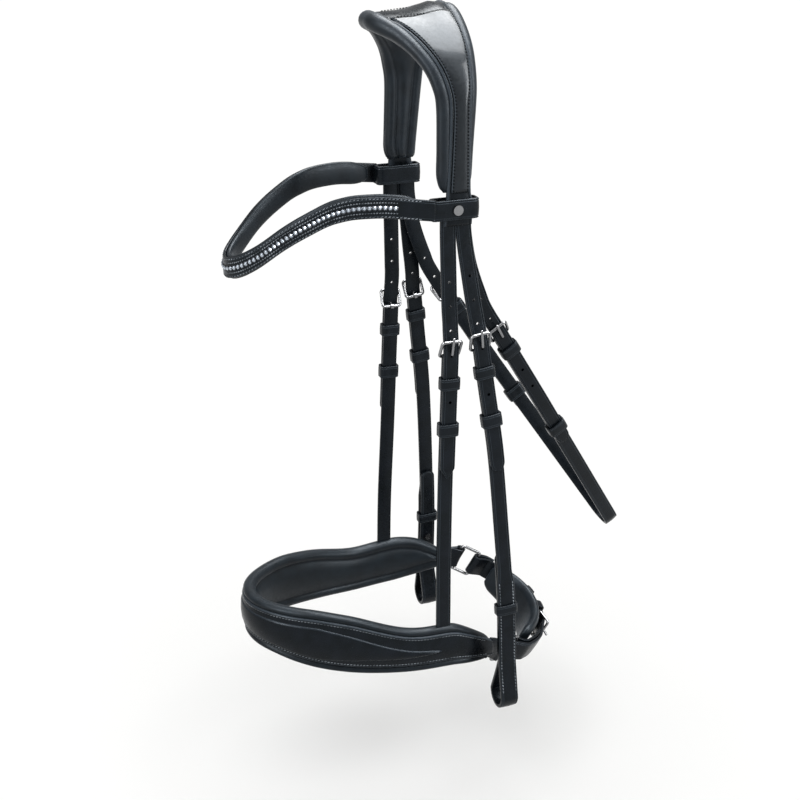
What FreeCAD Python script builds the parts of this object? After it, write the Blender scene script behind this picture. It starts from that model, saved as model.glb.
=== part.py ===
import FreeCAD
import Part
import math
import os
from FreeCAD import Vector

"""Full-size snaffle bridle with an anatomical padded crown, swooping browband, crank noseband,
cheekpieces with bit loops and a throatlatch.  Millimetres.  +Z up, the horse looks along -Y,
its left side is +X.  The origin is the poll seat: the middle of the crown pad's underside.
Everything on the horse's left is built first; its right-hand twin is the mirror image."""

# ---- leather and hardware stock -----------------------------------------------------------
LEATHER = 2.8            # thickness of a bridle strap
STRAP_WIDTH = 13.0       # billets, slings and throatlatch
CHEEK_END_WIDTH = 16.0   # cheekpiece at the bit loop
HOLE_PITCH = 20.0        # punched holes along a billet
HOLE_RADIUS = 1.6
WIRE_RADIUS = 1.3        # strap buckle wire
BORE_CLEARANCE = 0.2     # round wires that turn in leather
GAP = 0.3                # between pieces that move on each other
SEAM = 0.15              # between pieces sewn together

# ---- crown --------------------------------------------------------------------------------
CROWN_HALF_WIDTH = 58.0  # arch, measured on the pad's outer face
CROWN_RISE = 58.0
CROWN_SPRING_Z = -48.0   # height where the arch runs out into the straight sides
PAD_THICK = 10.0
CROWN_LEATHER = 3.2
PAD_MARGIN = 4.5         # pad shows this far beyond the leather
PAD_END_Z = -112.0
SPLIT_Z = -145.0         # the crown leather divides into billets here

# ---- browband -----------------------------------------------------------------------------
BROW_HALF_WIDTH = 60.0   # outer face, across the forehead
BROW_LOOP_X = 67.4       # outer face, at the loops
BROW_FRONT_Y = -168.0
BROW_LOOP_Y = -17.0
BROW_HEIGHT = 16.0
BROW_WALL = 2.2
BROW_LINING = 5.0

# ---- noseband -----------------------------------------------------------------------------
NOSE_HALF_WIDTH = 79.0
NOSE_FRONT = 166.0
NOSE_REAR = 97.0
NOSE_LEFT_END = 115.0     # degrees round the band from its front
NOSE_RIGHT_END = 121.0
NOSE_LEATHER = 3.0
NOSE_PAD = 9.0
NOSE_PAD_MARGIN = 4.0

# ---- chin closure, laid out in a plane that slopes down to the rear -------------------------
CHIN_ORIGIN = Vector(0, 44, -518)
CHIN_SLOPE = 25.0        # down to the rear
CHIN_ROLL = 12.0         # down to the left, where the strap is done up
CHIN_YAW = 6.0           # and forward on the left
RING_WIRE = 1.5
RING_PITCH = 19.0        # between the ring's two leather-holding bars
RING_PIVOT = Vector(64, 13, 0)
RING_TURN = 20.0         # each ring leans inward by this much
CHIN_HALF_WIDTH = 59.0
CHIN_DEPTH = 56.0
CHIN_CENTRE_B = 20.0
CHIN_WIDTH = 20.0
CHIN_PAD_HEIGHT = 40.0
CHIN_PAD_THICK = 9.0
CHIN_HEEL_ANGLE = 80.0

# ---- strap buckle -------------------------------------------------------------------------
FRAME_LENGTH = 15.0      # heel bar to top bar
FRAME_TILT = 26.0        # the top bar stands off over the billet
FRAME_CORNER = 2.5
EYE_RADIUS = 2.9         # leather fold round the heel bar
TAIL_LIFT = 3.3          # billet lies this far above the lower strap's inner face
TONGUE_RADIUS = 1.1

# ---- strap routes: inner face, left side, top to bottom ------------------------------------
NOSE_ROUTE = [(61.6, -5.2, -146), (63, -3.8, -200), (64.2, -3.2, -226), (67.2, -6.8, -358),
              (70.6, -8.6, -430), (72.3, -9, -478), (72.3, -9, -512)]
CHEEK_ROUTE = [(61.6, 8.2, -146), (65.8, 13.7, -190), (68.6, 18.2, -220), (78.5, 32.5, -330),
               (84, 38, -400), (90, 42, -467), (95.3, 43, -533)]
THROAT_ROUTE = [(58.5, 9.5, -146), (58.3, 14.5, -172), (58, 24, -199), (57.5, 32, -216),
                (45, 90, -306), (11, 186, -452)]
NOSE_HEEL_Z = -245.0
CHEEK_HEEL_Z = -240.0
THROAT_HEEL_Z = -238.0

# ---- bit loop -----------------------------------------------------------------------------
BIT_LOOP_RADIUS = 9.0
BIT_LOOP_CENTRE = (92.5, -562.0)
BIT_LOOP_WALL = 3.4
RETURN_TOP_Z = -424.0

LEFT = Vector(1, 0, 0)
parts = {}


# ---- vectors, routes and local frames -------------------------------------------------------
def unit(v):
    return Vector(v) * (1.0 / v.Length)


class Route:
    """A strap's centre line, straight between its points, with the leather's outward side."""

    def __init__(self, points, out=LEFT):
        self.points = [Vector(*p) for p in points]
        self.out = out
        self.reach = [0.0]
        for a, b in zip(self.points, self.points[1:]):
            self.reach.append(self.reach[-1] + (b - a).Length)

    def where(self, z):
        """Distance along the route at which it is at height z."""
        for i, (a, b) in enumerate(zip(self.points, self.points[1:])):
            if a.z >= z >= b.z:
                return self.reach[i] + (self.reach[i + 1] - self.reach[i]) * (a.z - z) / (a.z - b.z)
        raise ValueError("height is off the route")

    def frame(self, s):
        """Point, direction of run, direction across and outward normal at distance s."""
        last = len(self.points) - 2
        i = 0
        while i < last and s > self.reach[i + 1]:
            i += 1
        run = unit(self.points[i + 1] - self.points[i])
        point = self.points[i] + run * (s - self.reach[i])
        if i < last and abs(s - self.reach[i + 1]) < 1e-6:
            run = unit(run + unit(self.points[i + 2] - self.points[i + 1]))
        across = unit(run.cross(self.out))
        return point, run, across, across.cross(run)

    def stops(self, start, end):
        inner = [r for r in self.reach if start + 0.5 < r < end - 0.5]
        return [start] + inner + [end]


def loft(sections):
    wires = [Part.makePolygon(list(s) + [s[0]]) for s in sections]
    return Part.makeLoft(wires, True, True)


def rectangle(point, across, normal, width, low, high):
    a = across * (width / 2)
    return [point - a + normal * low, point + a + normal * low,
            point + a + normal * high, point - a + normal * high]


def strap(route, stations):
    """stations: (distance, width, lift of the inner face, thickness)."""
    sections = []
    for s, width, lift, thick in stations:
        point, _run, across, normal = route.frame(s)
        sections.append(rectangle(point, across, normal, width, lift, lift + thick))
    return loft(sections)


def place(shape, origin, x_dir, y_dir, z_dir):
    """Move a shape drawn on local axes to where those axes lie on the bridle."""
    m = FreeCAD.Matrix(x_dir.x, y_dir.x, z_dir.x, origin.x,
                       x_dir.y, y_dir.y, z_dir.y, origin.y,
                       x_dir.z, y_dir.z, z_dir.z, origin.z,
                       0, 0, 0, 1)
    moved = shape.copy()
    moved.Placement = FreeCAD.Placement(m).multiply(moved.Placement)
    return moved


def box(x0, x1, y0, y1, z0, z1):
    return Part.makeBox(x1 - x0, y1 - y0, z1 - z0, Vector(x0, y0, z0))


def mirrored(shape):
    return shape.mirror(Vector(0, 0, 0), LEFT)


def keep(name, shape):
    """Record one piece; it has to be a single valid solid."""
    solid = shape.removeSplitter() if shape.ShapeType == "Compound" or len(shape.Solids) == 1 else shape
    assert len(solid.Solids) == 1 and solid.isValid(), name
    parts[name] = solid.Solids[0]


def pair(name, left_shape):
    keep(name + "_left", left_shape)
    keep(name + "_right", mirrored(left_shape))


def table(value, rows):
    """Straight-line reading of a table of (value, columns...) rows."""
    for low, high in zip(rows, rows[1:]):
        if value <= high[0]:
            k = (value - low[0]) / (high[0] - low[0])
            return [a + (b - a) * k for a, b in zip(low[1:], high[1:])]
    return list(rows[-1][1:])


# ---- strap buckles --------------------------------------------------------------------------
def rounded_ring(half_width, length, corner, wire):
    """Closed ring of round wire in the XY plane, one bar on the X axis and one at y = length."""
    x, y = half_width - corner, length - corner
    ring = None
    bars = [(Vector(-x, 0, 0), LEFT, 2 * x), (Vector(-x, length, 0), LEFT, 2 * x),
            (Vector(-half_width, corner, 0), Vector(0, 1, 0), y - corner),
            (Vector(half_width, corner, 0), Vector(0, 1, 0), y - corner)]
    corners = [(Vector(x, y, 0), 0), (Vector(-x, y, 0), 90), (Vector(-x, corner, 0), 180),
               (Vector(x, corner, 0), 270)]
    pieces = [Part.makeCylinder(wire, size, base, way) for base, way, size in bars]
    for centre, turn in corners:
        bend = Part.makeTorus(corner, wire, Vector(0, 0, 0), Vector(0, 0, 1), 0, 360, 90)
        bend.rotate(Vector(0, 0, 0), Vector(0, 0, 1), turn)
        bend.translate(centre)
        pieces.append(bend)
    ring = pieces[0].fuse(pieces[1:])
    return ring.removeSplitter()


def buckle_frame(strap_width):
    half = strap_width / 2 + 0.5 + WIRE_RADIUS
    ring = rounded_ring(half, FRAME_LENGTH, FRAME_CORNER, WIRE_RADIUS)
    ring.rotate(Vector(0, 0, 0), LEFT, FRAME_TILT)
    return ring


def buckle_tongue():
    """Eye round the heel bar, a rise through the billet's hole, then a run to the top bar."""
    width = 2.6
    eye = Part.makeCylinder(2.5, width, Vector(-width / 2, 0, 0), LEFT)
    bend = Vector(0, 3.2, 7.4)
    tip = Vector(0, 17, 10.1)
    root = Vector(0, 0.5, 1.8)
    rise = Part.makeCylinder(TONGUE_RADIUS, (bend - root).Length, root, bend - root)
    run = Part.makeCylinder(TONGUE_RADIUS, (tip - bend).Length, bend, tip - bend)
    knuckle = Part.makeSphere(TONGUE_RADIUS, bend)
    end = Part.makeSphere(TONGUE_RADIUS, tip)
    tongue = eye.fuse([rise, knuckle, run, end])
    bore = Part.makeCylinder(WIRE_RADIUS + BORE_CLEARANCE, 10, Vector(-5, 0, 0), LEFT)
    return tongue.cut(bore)


def strap_axes(route, s, lift=0.0):
    """Local axes on a strap: across it, back up it, outward."""
    point, run, _across, normal = route.frame(s)
    along = run * -1
    return point + normal * lift, along.cross(normal), along, normal


def heel_axes(route, s):
    """Local axes of a buckle, with the origin on its heel bar."""
    return strap_axes(route, s, 0.1)


def eye_fold(width):
    """Leather folded round the heel bar, as a barrel on local axes, skived at its ends."""
    return Part.makeCylinder(EYE_RADIUS, width - 0.6, Vector(0.3 - width / 2, 0, 0), LEFT)


def eye_cutter(width):
    """What the heel bar and the tongue's eye need: a bore and a central slot."""
    bore = Part.makeCylinder(WIRE_RADIUS + BORE_CLEARANCE, width + 4, Vector(-width / 2 - 2, 0, 0), LEFT)
    slot = box(-1.7, 1.7, -3.4, 3.4, -3.4, 3.6)
    return bore.fuse(slot)


BILLET_TOP = 2.0         # clear of the crown leather it hangs from
BILLET_RISE = [(30, 0.0), (18, 1.1), (13.5, 2.1), (9, 2.9), (5, TAIL_LIFT)]


def billet(route, heel, tip, holes):
    """Punched strap from the crown, under the buckle's top bar, over its heel and on to its tip."""
    marks = [(BILLET_TOP, 0.0)] + [(r, 0.0) for r in route.reach[1:] if r < heel - 31]
    marks += [(heel - t, lift) for t, lift in BILLET_RISE]
    marks += [(r, TAIL_LIFT) for r in route.reach if heel < r < tip - 8]
    stations = [(s, STRAP_WIDTH, lift, LEATHER) for s, lift in marks]
    for back, width in ((7, STRAP_WIDTH), (3, STRAP_WIDTH * 0.74), (0.8, STRAP_WIDTH * 0.4), (0, 2.5)):
        stations.append((tip - back, width, TAIL_LIFT, LEATHER))
    shape = strap(route, stations)
    for step in holes:
        s = heel - 1.7 + step * HOLE_PITCH
        radius = 2.3 if step == 0 else HOLE_RADIUS
        point, _run, _across, normal = route.frame(s)
        shape = shape.cut(Part.makeCylinder(radius, 16, point - normal * 4, normal))
    return shape


def with_eye(shape, route, heel, width):
    origin, x_dir, y_dir, z_dir = heel_axes(route, heel)
    folded = shape.fuse(place(eye_fold(width), origin, x_dir, y_dir, z_dir))
    return folded.cut(place(eye_cutter(width), origin, x_dir, y_dir, z_dir))


def collar(route, s, height, low, high, width, clearance, wall=1.8):
    """Leather keeper round a stack of straps that fills low..high above the route."""
    half = width / 2 + clearance
    low, high = low - clearance, high + clearance
    outer = box(-half - wall, half + wall, -height / 2, height / 2, low - wall, high + wall)
    inner = box(-half, half, -height, height, low, high)
    return place(outer.cut(inner), *strap_axes(route, s))


def buckled_joint(prefix, route, heel_z, tip_z, keeper_z, runner_z, holes):
    """Billet, frame, tongue, fixed keeper and sliding keeper of one buckle; both sides."""
    heel = route.where(heel_z)
    pair(prefix + "_billet", billet(route, heel, route.where(tip_z), holes))
    axes = heel_axes(route, heel)
    pair(prefix + "_buckle", place(buckle_frame(STRAP_WIDTH), *axes))
    pair(prefix + "_tongue", place(buckle_tongue(), *axes))
    stack = TAIL_LIFT + LEATHER
    pair(prefix + "_keeper", collar(route, route.where(keeper_z), 10, 0, stack, STRAP_WIDTH, SEAM))
    pair(prefix + "_runner", collar(route, route.where(runner_z), 11, 0, stack, STRAP_WIDTH, GAP))
    return heel


# ---- crown ----------------------------------------------------------------------------------
def crown_stations():
    """Left half from the poll down: (x, z on the pad's outer face, front y, rear y)."""
    spread = [(0, -50, 20), (15, -47, 21), (30, -37, 22), (45, -28, 22), (60, -20, 21),
              (75, -15, 20), (90, -12.5, 19)]
    rows = []
    for angle, front, rear in spread:
        a = math.radians(angle)
        rows.append((CROWN_HALF_WIDTH * math.sin(a), CROWN_SPRING_Z + CROWN_RISE * math.cos(a), front, rear))
    rows.append((59.7, -80.0, -12.5, 16.5))
    rows.append((61.3, PAD_END_Z, -13.0, 14.5))
    return rows


def crown_band(rows, low, high, front_margin, rear_margin):
    """Band over the poll through the given rows, between two heights above the pad's outer face."""
    line = [Vector(x, 0, z) for x, z, _f, _r in rows]
    sections = []
    for i, (x, z, front, rear) in enumerate(rows):
        ahead = line[min(i + 1, len(line) - 1)]
        behind = line[max(i - 1, 0)]
        run = ahead - behind
        if i == 0 and x == 0:
            run = LEFT
        normal = unit(Vector(-run.z, 0, run.x))
        f, r = front + front_margin, rear - rear_margin
        base = Vector(x, 0, z)
        sections.append([base + normal * low + Vector(0, f, 0), base + normal * low + Vector(0, r, 0),
                         base + normal * high + Vector(0, r, 0), base + normal * high + Vector(0, f, 0)])
    return sections


def both_sides(sections):
    """Sections from the left end over the middle to the right end."""
    other = [[Vector(-p.x, p.y, p.z) for p in s] for s in sections[1:]]
    return list(reversed(sections)) + other


def build_crown():
    rows = crown_stations()
    keep("crown_pad", loft(both_sides(crown_band(rows, -PAD_THICK, 0, 0, 0))))
    leather_rows = rows + [(61.6, -118, -12.5, 15.5), (61.6, SPLIT_Z, -11.6, 14.4)]
    sections = crown_band(leather_rows, SEAM, CROWN_LEATHER, 0, 0)
    margins = [PAD_MARGIN] * 7 + [3.0, 1.5, 0.0, 0.0]
    trimmed = []
    for (a, b, c, d), m in zip(sections, margins):
        shift = Vector(0, m, 0)
        trimmed.append([a + shift, b - shift, c - shift, d + shift])
    leather = loft(both_sides(trimmed))
    root = box(58.5, 62.5, 3.0, 16.0, SPLIT_Z, -114)
    keep("crown_leather", leather.fuse([root, mirrored(root)]))
    inset_rows = []
    for angle, front, rear in ((15, -36, 12), (30, -26, 13), (45, -16, 13), (60, -9, 13), (75, -2, 12), (90, 4, 10.5)):
        a = math.radians(angle)
        inset_rows.append((CROWN_HALF_WIDTH * math.sin(a),
                           CROWN_SPRING_Z + CROWN_RISE * math.cos(a), front, rear))
    inset = loft(crown_band(inset_rows, CROWN_LEATHER + SEAM, CROWN_LEATHER + 1.2, 0, 0))
    pair("crown_inset", inset)


# ---- browband -------------------------------------------------------------------------------
BROW_HEIGHTS = [(-168, -171.0), (-160, -166.0), (-149, -158.0), (-133, -144.5), (-121, -136.5),
                (-98, -124.0), (-81, -119.5), (-56, -119.0), (-17, -124.5)]


def brow_sections(outer, inner, angles, height):
    """Upright sections of the band; outer and inner are offsets inward from the outer face."""
    depth = BROW_LOOP_Y - BROW_FRONT_Y
    sections = []
    for angle in angles:
        a = math.radians(angle)
        half = BROW_HALF_WIDTH + (BROW_LOOP_X - BROW_HALF_WIDTH) * max(0, angle - 60) / 30
        point = Vector(half * math.sin(a), BROW_LOOP_Y - depth * math.cos(a), 0)
        normal = unit(Vector(math.sin(a) / half, -math.cos(a) / depth, 0))
        z = table(point.y, BROW_HEIGHTS)[0]
        up = Vector(0, 0, height / 2)
        mid = point + Vector(0, 0, z)
        sections.append([mid - normal * outer - up, mid - normal * outer + up,
                         mid - normal * inner + up, mid - normal * inner - up])
    return sections


def build_browband():
    angles = [0, 8, 16, 24, 32, 40, 48, 56, 64, 72, 81, 90]
    band = loft(both_sides(brow_sections(0, BROW_WALL, angles, BROW_HEIGHT)))
    low, high = -133.0, -117.0
    x_in, x_out = 55.2, BROW_LOOP_X
    y_front, y_rear = BROW_LOOP_Y - 2.2, 19.4
    loop = box(x_in, x_out, y_front, y_rear, low, high)
    loop = loop.cut(box(x_in + BROW_WALL, x_out - BROW_WALL, BROW_LOOP_Y, y_rear - BROW_WALL, low - 1, high + 1))
    keep("browband_leather", band.fuse([loop, mirrored(loop)]))
    lining_angles = angles[:-2]
    lining = brow_sections(BROW_WALL + SEAM, BROW_WALL + SEAM + BROW_LINING, lining_angles, BROW_HEIGHT + 3)
    keep("browband_pad", loft(both_sides(lining)))
    row = brow_sections(-1.4, -SEAM, [a for a in angles if a < 79], 3.6)
    keep("crystal_row", loft(both_sides(row)))
    stud = Part.makeCylinder(4.0, 1.6, Vector(x_out + SEAM, 1.0, (low + high) / 2), LEFT)
    pair("browband_stud", stud)


# ---- noseband -------------------------------------------------------------------------------
NOSE_ANGLES = [0, 8, 16, 25, 35, 45, 52.5, 60, 67.5, 75, 82.5, 90]
NOSE_EDGES = [(0, -464, -507), (25, -465, -512), (45, -467, -521), (60, -474, -526), (75, -486, -530)]
NOSE_ENDS = {1: [(90, -491, -532), (103, -502, -538), (NOSE_LEFT_END, -514, -543)],
             -1: [(90, -488, -529), (105, -493, -526), (NOSE_RIGHT_END, -497, -522)]}


def nose_section(side, angle, outer, inner, margin):
    """One upright section of the noseband, between two depths in from its outer face."""
    a = math.radians(angle)
    depth = NOSE_FRONT if angle <= 90 else NOSE_REAR
    point = Vector(side * NOSE_HALF_WIDTH * math.sin(a), -depth * math.cos(a), 0)
    normal = unit(Vector(side * math.sin(a) / NOSE_HALF_WIDTH, -math.cos(a) / depth, 0))
    top, bottom = table(angle, NOSE_EDGES + NOSE_ENDS[side])
    high, low = Vector(0, 0, top - margin), Vector(0, 0, bottom + margin)
    return [point - normal * outer + low, point - normal * outer + high,
            point - normal * inner + high, point - normal * inner + low]


def nose_band(reach, outer, inner, margin):
    """The band from its left end round the front to its right; reach 1 is the full length."""
    halves = []
    for side, end in ((1, NOSE_LEFT_END), (-1, NOSE_RIGHT_END)):
        angles = NOSE_ANGLES + [90 + (end - 90) * reach * i / 4 for i in (1, 2, 3, 4)]
        halves.append([nose_section(side, a, outer, inner, margin) for a in angles])
    return loft(halves[0][::-1] + halves[1][1:])


def turned(angle):
    a = math.radians(angle)
    return math.cos(a), math.sin(a)


ROLL, SLOPE, YAW = turned(CHIN_ROLL), turned(CHIN_SLOPE), turned(CHIN_YAW)
CHIN_SIDE = Vector(ROLL[0] * YAW[0], -ROLL[0] * YAW[1], -ROLL[1])
CHIN_BACK = Vector(SLOPE[0] * YAW[1], SLOPE[0] * YAW[0], -SLOPE[1])
CHIN_BACK = unit(CHIN_BACK - CHIN_SIDE * CHIN_BACK.dot(CHIN_SIDE))
CHIN_UP = CHIN_SIDE.cross(CHIN_BACK)


def chin_point(x, b, c=0.0):
    return CHIN_ORIGIN + CHIN_SIDE * x + CHIN_BACK * b + CHIN_UP * c


def on_chin_plane(shape):
    return place(shape, CHIN_ORIGIN, CHIN_SIDE, CHIN_BACK, CHIN_UP)


def upright(radius, height, x, b):
    return Part.makeCylinder(radius, height, Vector(x, b, -height / 2), Vector(0, 0, 1))


def build_noseband(sling):
    leather = nose_band(1, 0, NOSE_LEATHER, NOSE_PAD_MARGIN)
    half = CHIN_WIDTH / 2
    bars = []
    for side, angle in ((1, NOSE_LEFT_END), (-1, NOSE_RIGHT_END)):
        end = nose_section(side, angle, 0, NOSE_LEATHER, NOSE_PAD_MARGIN)
        outer_x, inner_x, b = side * (RING_PIVOT.x + 1.2), side * (RING_PIVOT.x - 2), RING_PIVOT.y - 2
        tab_end = [chin_point(outer_x, b, -half), chin_point(outer_x, b, half),
                   chin_point(inner_x, b, half), chin_point(inner_x, b, -half)]
        fold = on_chin_plane(upright(3.6, CHIN_WIDTH - 0.6, side * RING_PIVOT.x, RING_PIVOT.y))
        leather = leather.fuse([loft([end, tab_end]), fold])
        bars.append(on_chin_plane(upright(RING_WIRE + 0.25, CHIN_WIDTH + 12, side * RING_PIVOT.x, RING_PIVOT.y)))
    keep("noseband_leather", leather.cut(bars))
    start = NOSE_LEATHER + 2 * SEAM
    pad = nose_band(0.75, start, start + NOSE_PAD, 0)
    keep("noseband_pad", pad.cut([sling, mirrored(sling)]))


def sling_pocket(route):
    """Room between the noseband's leather and its pad for the sewn-in end of a sling."""
    top = route.where(-478)
    width = STRAP_WIDTH + 2 * SEAM
    return strap(route, [(top - 12, width, -SEAM, 8), (route.reach[-1] + SEAM, width, -SEAM, 8)])


# ---- chin closure ---------------------------------------------------------------------------
def chin_curve(angle, offset):
    """Point at an angle round the chin, offset outward from the strap's inner face."""
    a = math.radians(angle)
    point = Vector(CHIN_HALF_WIDTH * math.cos(a), CHIN_CENTRE_B + CHIN_DEPTH * math.sin(a), 0)
    normal = unit(Vector(math.cos(a) / CHIN_HALF_WIDTH, math.sin(a) / CHIN_DEPTH, 0))
    return point + normal * offset


def chin_band(line, thick, height):
    """Band with a centre line drawn in the chin plane, standing up either side of it."""
    left, right = [], []
    for i, point in enumerate(line):
        run = unit(line[min(i + 1, len(line) - 1)] - line[max(i - 1, 0)])
        side = Vector(-run.y, run.x, 0) * (thick / 2)
        left.append(point + side)
        right.append(point - side)
    outline = left + right[::-1]
    face = Part.Face(Part.makePolygon(outline + [outline[0]]))
    solid = face.extrude(Vector(0, 0, height))
    solid.translate(Vector(0, 0, -height / 2))
    return solid


def chin_arc(start, end, offset, count):
    return [chin_curve(start + (end - start) * i / count, offset) for i in range(count + 1)]


def chin_axes(angle, lift):
    """Local axes of the chin buckle in the chin plane; the billet arrives from the left."""
    a = math.radians(angle)
    tangent = unit(Vector(CHIN_HALF_WIDTH * math.sin(a), -CHIN_DEPTH * math.cos(a), 0))
    normal = unit(Vector(math.cos(a) / CHIN_HALF_WIDTH, math.sin(a) / CHIN_DEPTH, 0))
    return chin_curve(angle, lift), tangent.cross(normal), tangent, normal


def ring_bar(side):
    turn = math.radians(RING_TURN)
    return Vector(side * (RING_PIVOT.x - RING_PITCH * math.sin(turn)),
                  RING_PIVOT.y + RING_PITCH * math.cos(turn), 0)


def build_chin():
    half = LEATHER / 2
    bar_left, bar_right = ring_bar(1), ring_bar(-1)
    tall = CHIN_WIDTH / 2 + 2.2 + RING_WIRE
    ring = rounded_ring(tall, RING_PITCH, 2.5, RING_WIRE)
    turn = math.radians(RING_TURN)
    lean = Vector(-math.sin(turn), math.cos(turn), 0)
    ring = place(ring, RING_PIVOT, Vector(0, 0, 1), lean, Vector(0, 0, 1).cross(lean))
    keep("noseband_ring_left", on_chin_plane(ring))
    keep("noseband_ring_right", on_chin_plane(mirrored(ring)))

    pad = chin_band(chin_arc(30, 150, -CHIN_PAD_THICK / 2 - EYE_RADIUS - SEAM, 14), CHIN_PAD_THICK, CHIN_PAD_HEIGHT)
    keep("chin_pad", on_chin_plane(pad))

    heel_point, x_dir, y_dir, z_dir = chin_axes(CHIN_HEEL_ANGLE, 0.1)
    line = [bar_right] + chin_arc(160, CHIN_HEEL_ANGLE, half, 10)
    base = chin_band(line, LEATHER, CHIN_WIDTH)
    base = base.fuse([upright(3.6, CHIN_WIDTH, bar_right.x, bar_right.y),
                      place(eye_fold(CHIN_WIDTH), heel_point, x_dir, y_dir, z_dir)])
    base = base.cut(upright(RING_WIRE + 0.25, CHIN_WIDTH + 8, bar_right.x, bar_right.y))
    base = base.cut(place(eye_cutter(CHIN_WIDTH), heel_point, x_dir, y_dir, z_dir))
    keep("chin_strap", on_chin_plane(base))

    out = unit(bar_left - Vector(0, CHIN_CENTRE_B, 0))
    inner = [bar_left - out * 3.5] + chin_arc(22, 52, half, 4)
    lift = TAIL_LIFT + half
    outer = [bar_left + out * 3.5, chin_curve(22, 5.4), chin_curve(36, 4.6), chin_curve(50, 4.3),
             chin_curve(CHIN_HEEL_ANGLE - 13.5, 3.4), chin_curve(CHIN_HEEL_ANGLE - 9, 4.3)]
    outer += chin_arc(CHIN_HEEL_ANGLE - 5, 128, lift, 7)
    loop = upright(4.9, CHIN_WIDTH, bar_left.x, bar_left.y)
    strip = chin_band(inner, LEATHER, CHIN_WIDTH).fuse([chin_band(outer, LEATHER, CHIN_WIDTH), loop])
    strip = strip.cut(upright(RING_WIRE + 0.6, CHIN_WIDTH + 8, bar_left.x, bar_left.y))
    hole = Part.makeCylinder(2.3, 16, Vector(0, 1.7, -4), Vector(0, 0, 1))
    strip = strip.cut(place(hole, heel_point, x_dir, y_dir, z_dir))
    for step in (1, 2):
        angle = CHIN_HEEL_ANGLE + step * 19
        at, hx, hy, hz = chin_axes(angle, 0)
        punch = Part.makeCylinder(HOLE_RADIUS, 12, Vector(0, 0, 1), Vector(0, 0, 1))
        strip = strip.cut(place(punch, at, hx, hy, hz))
    keep("chin_billet", on_chin_plane(strip))

    keep("chin_buckle", on_chin_plane(place(buckle_frame(CHIN_WIDTH), heel_point, x_dir, y_dir, z_dir)))
    keep("chin_tongue", on_chin_plane(place(buckle_tongue(), heel_point, x_dir, y_dir, z_dir)))
    for name, angle in (("chin_keeper_near", CHIN_HEEL_ANGLE + 11), ("chin_keeper_far", CHIN_HEEL_ANGLE + 30)):
        wall, slack = 1.6, 0.5
        half_c, low, high = CHIN_WIDTH / 2 + slack, -SEAM / 2, TAIL_LIFT + LEATHER + slack
        at, hx, hy, hz = chin_axes(angle, 0)
        sleeve = box(-half_c - wall, half_c + wall, -4.5, 4.5, low - 0.0, high + wall)
        hollow = box(-half_c, half_c, -9, 9, low - 1, high)
        band = sleeve.cut(hollow)
        keep(name, on_chin_plane(place(band, at, hx, hy, hz)))


# ---- cheekpieces ----------------------------------------------------------------------------
def tangent_point(apex, centre, radius, side):
    """Point where a line from apex touches a circle; side +1 is its right-hand side."""
    dx, dz = apex[0] - centre[0], apex[1] - centre[1]
    distance = math.hypot(dx, dz)
    turn = math.acos(radius / distance)
    a = math.atan2(dz, dx) - side * turn
    return centre[0] + radius * math.cos(a), centre[1] + radius * math.sin(a)


def teardrop(apex_left, apex_right, radius, y):
    """Closed outline: straight legs from the apex points down to a round bottom."""
    cx, cz = BIT_LOOP_CENTRE
    right = tangent_point(apex_right, BIT_LOOP_CENTRE, radius, 1)
    left = tangent_point(apex_left, BIT_LOOP_CENTRE, radius, -1)
    bottom = Vector(cx, y, cz - radius)
    p = [Vector(apex_right[0], y, apex_right[1]), Vector(right[0], y, right[1]),
         Vector(left[0], y, left[1]), Vector(apex_left[0], y, apex_left[1])]
    edges = [Part.makeLine(p[0], p[1]), Part.Arc(p[1], bottom, p[2]).toShape(), Part.makeLine(p[2], p[3])]
    if (p[3] - p[0]).Length > 1e-6:
        edges.append(Part.makeLine(p[3], p[0]))
    return Part.Face(Part.Wire(edges))


def bit_loop(end):
    """Leather bight that carries the bit ring, open along Y."""
    y0 = end.y - CHEEK_END_WIDTH / 2
    outer = teardrop((end.x - LEATHER - 0.2, end.z), (end.x + BIT_LOOP_WALL, end.z),
                     BIT_LOOP_RADIUS + BIT_LOOP_WALL, y0)
    apex = (end.x - 0.2, end.z - 2.5)
    inner = teardrop(apex, apex, BIT_LOOP_RADIUS, y0)
    return outer.cut(inner).extrude(Vector(0, CHEEK_END_WIDTH, 0))


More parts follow.
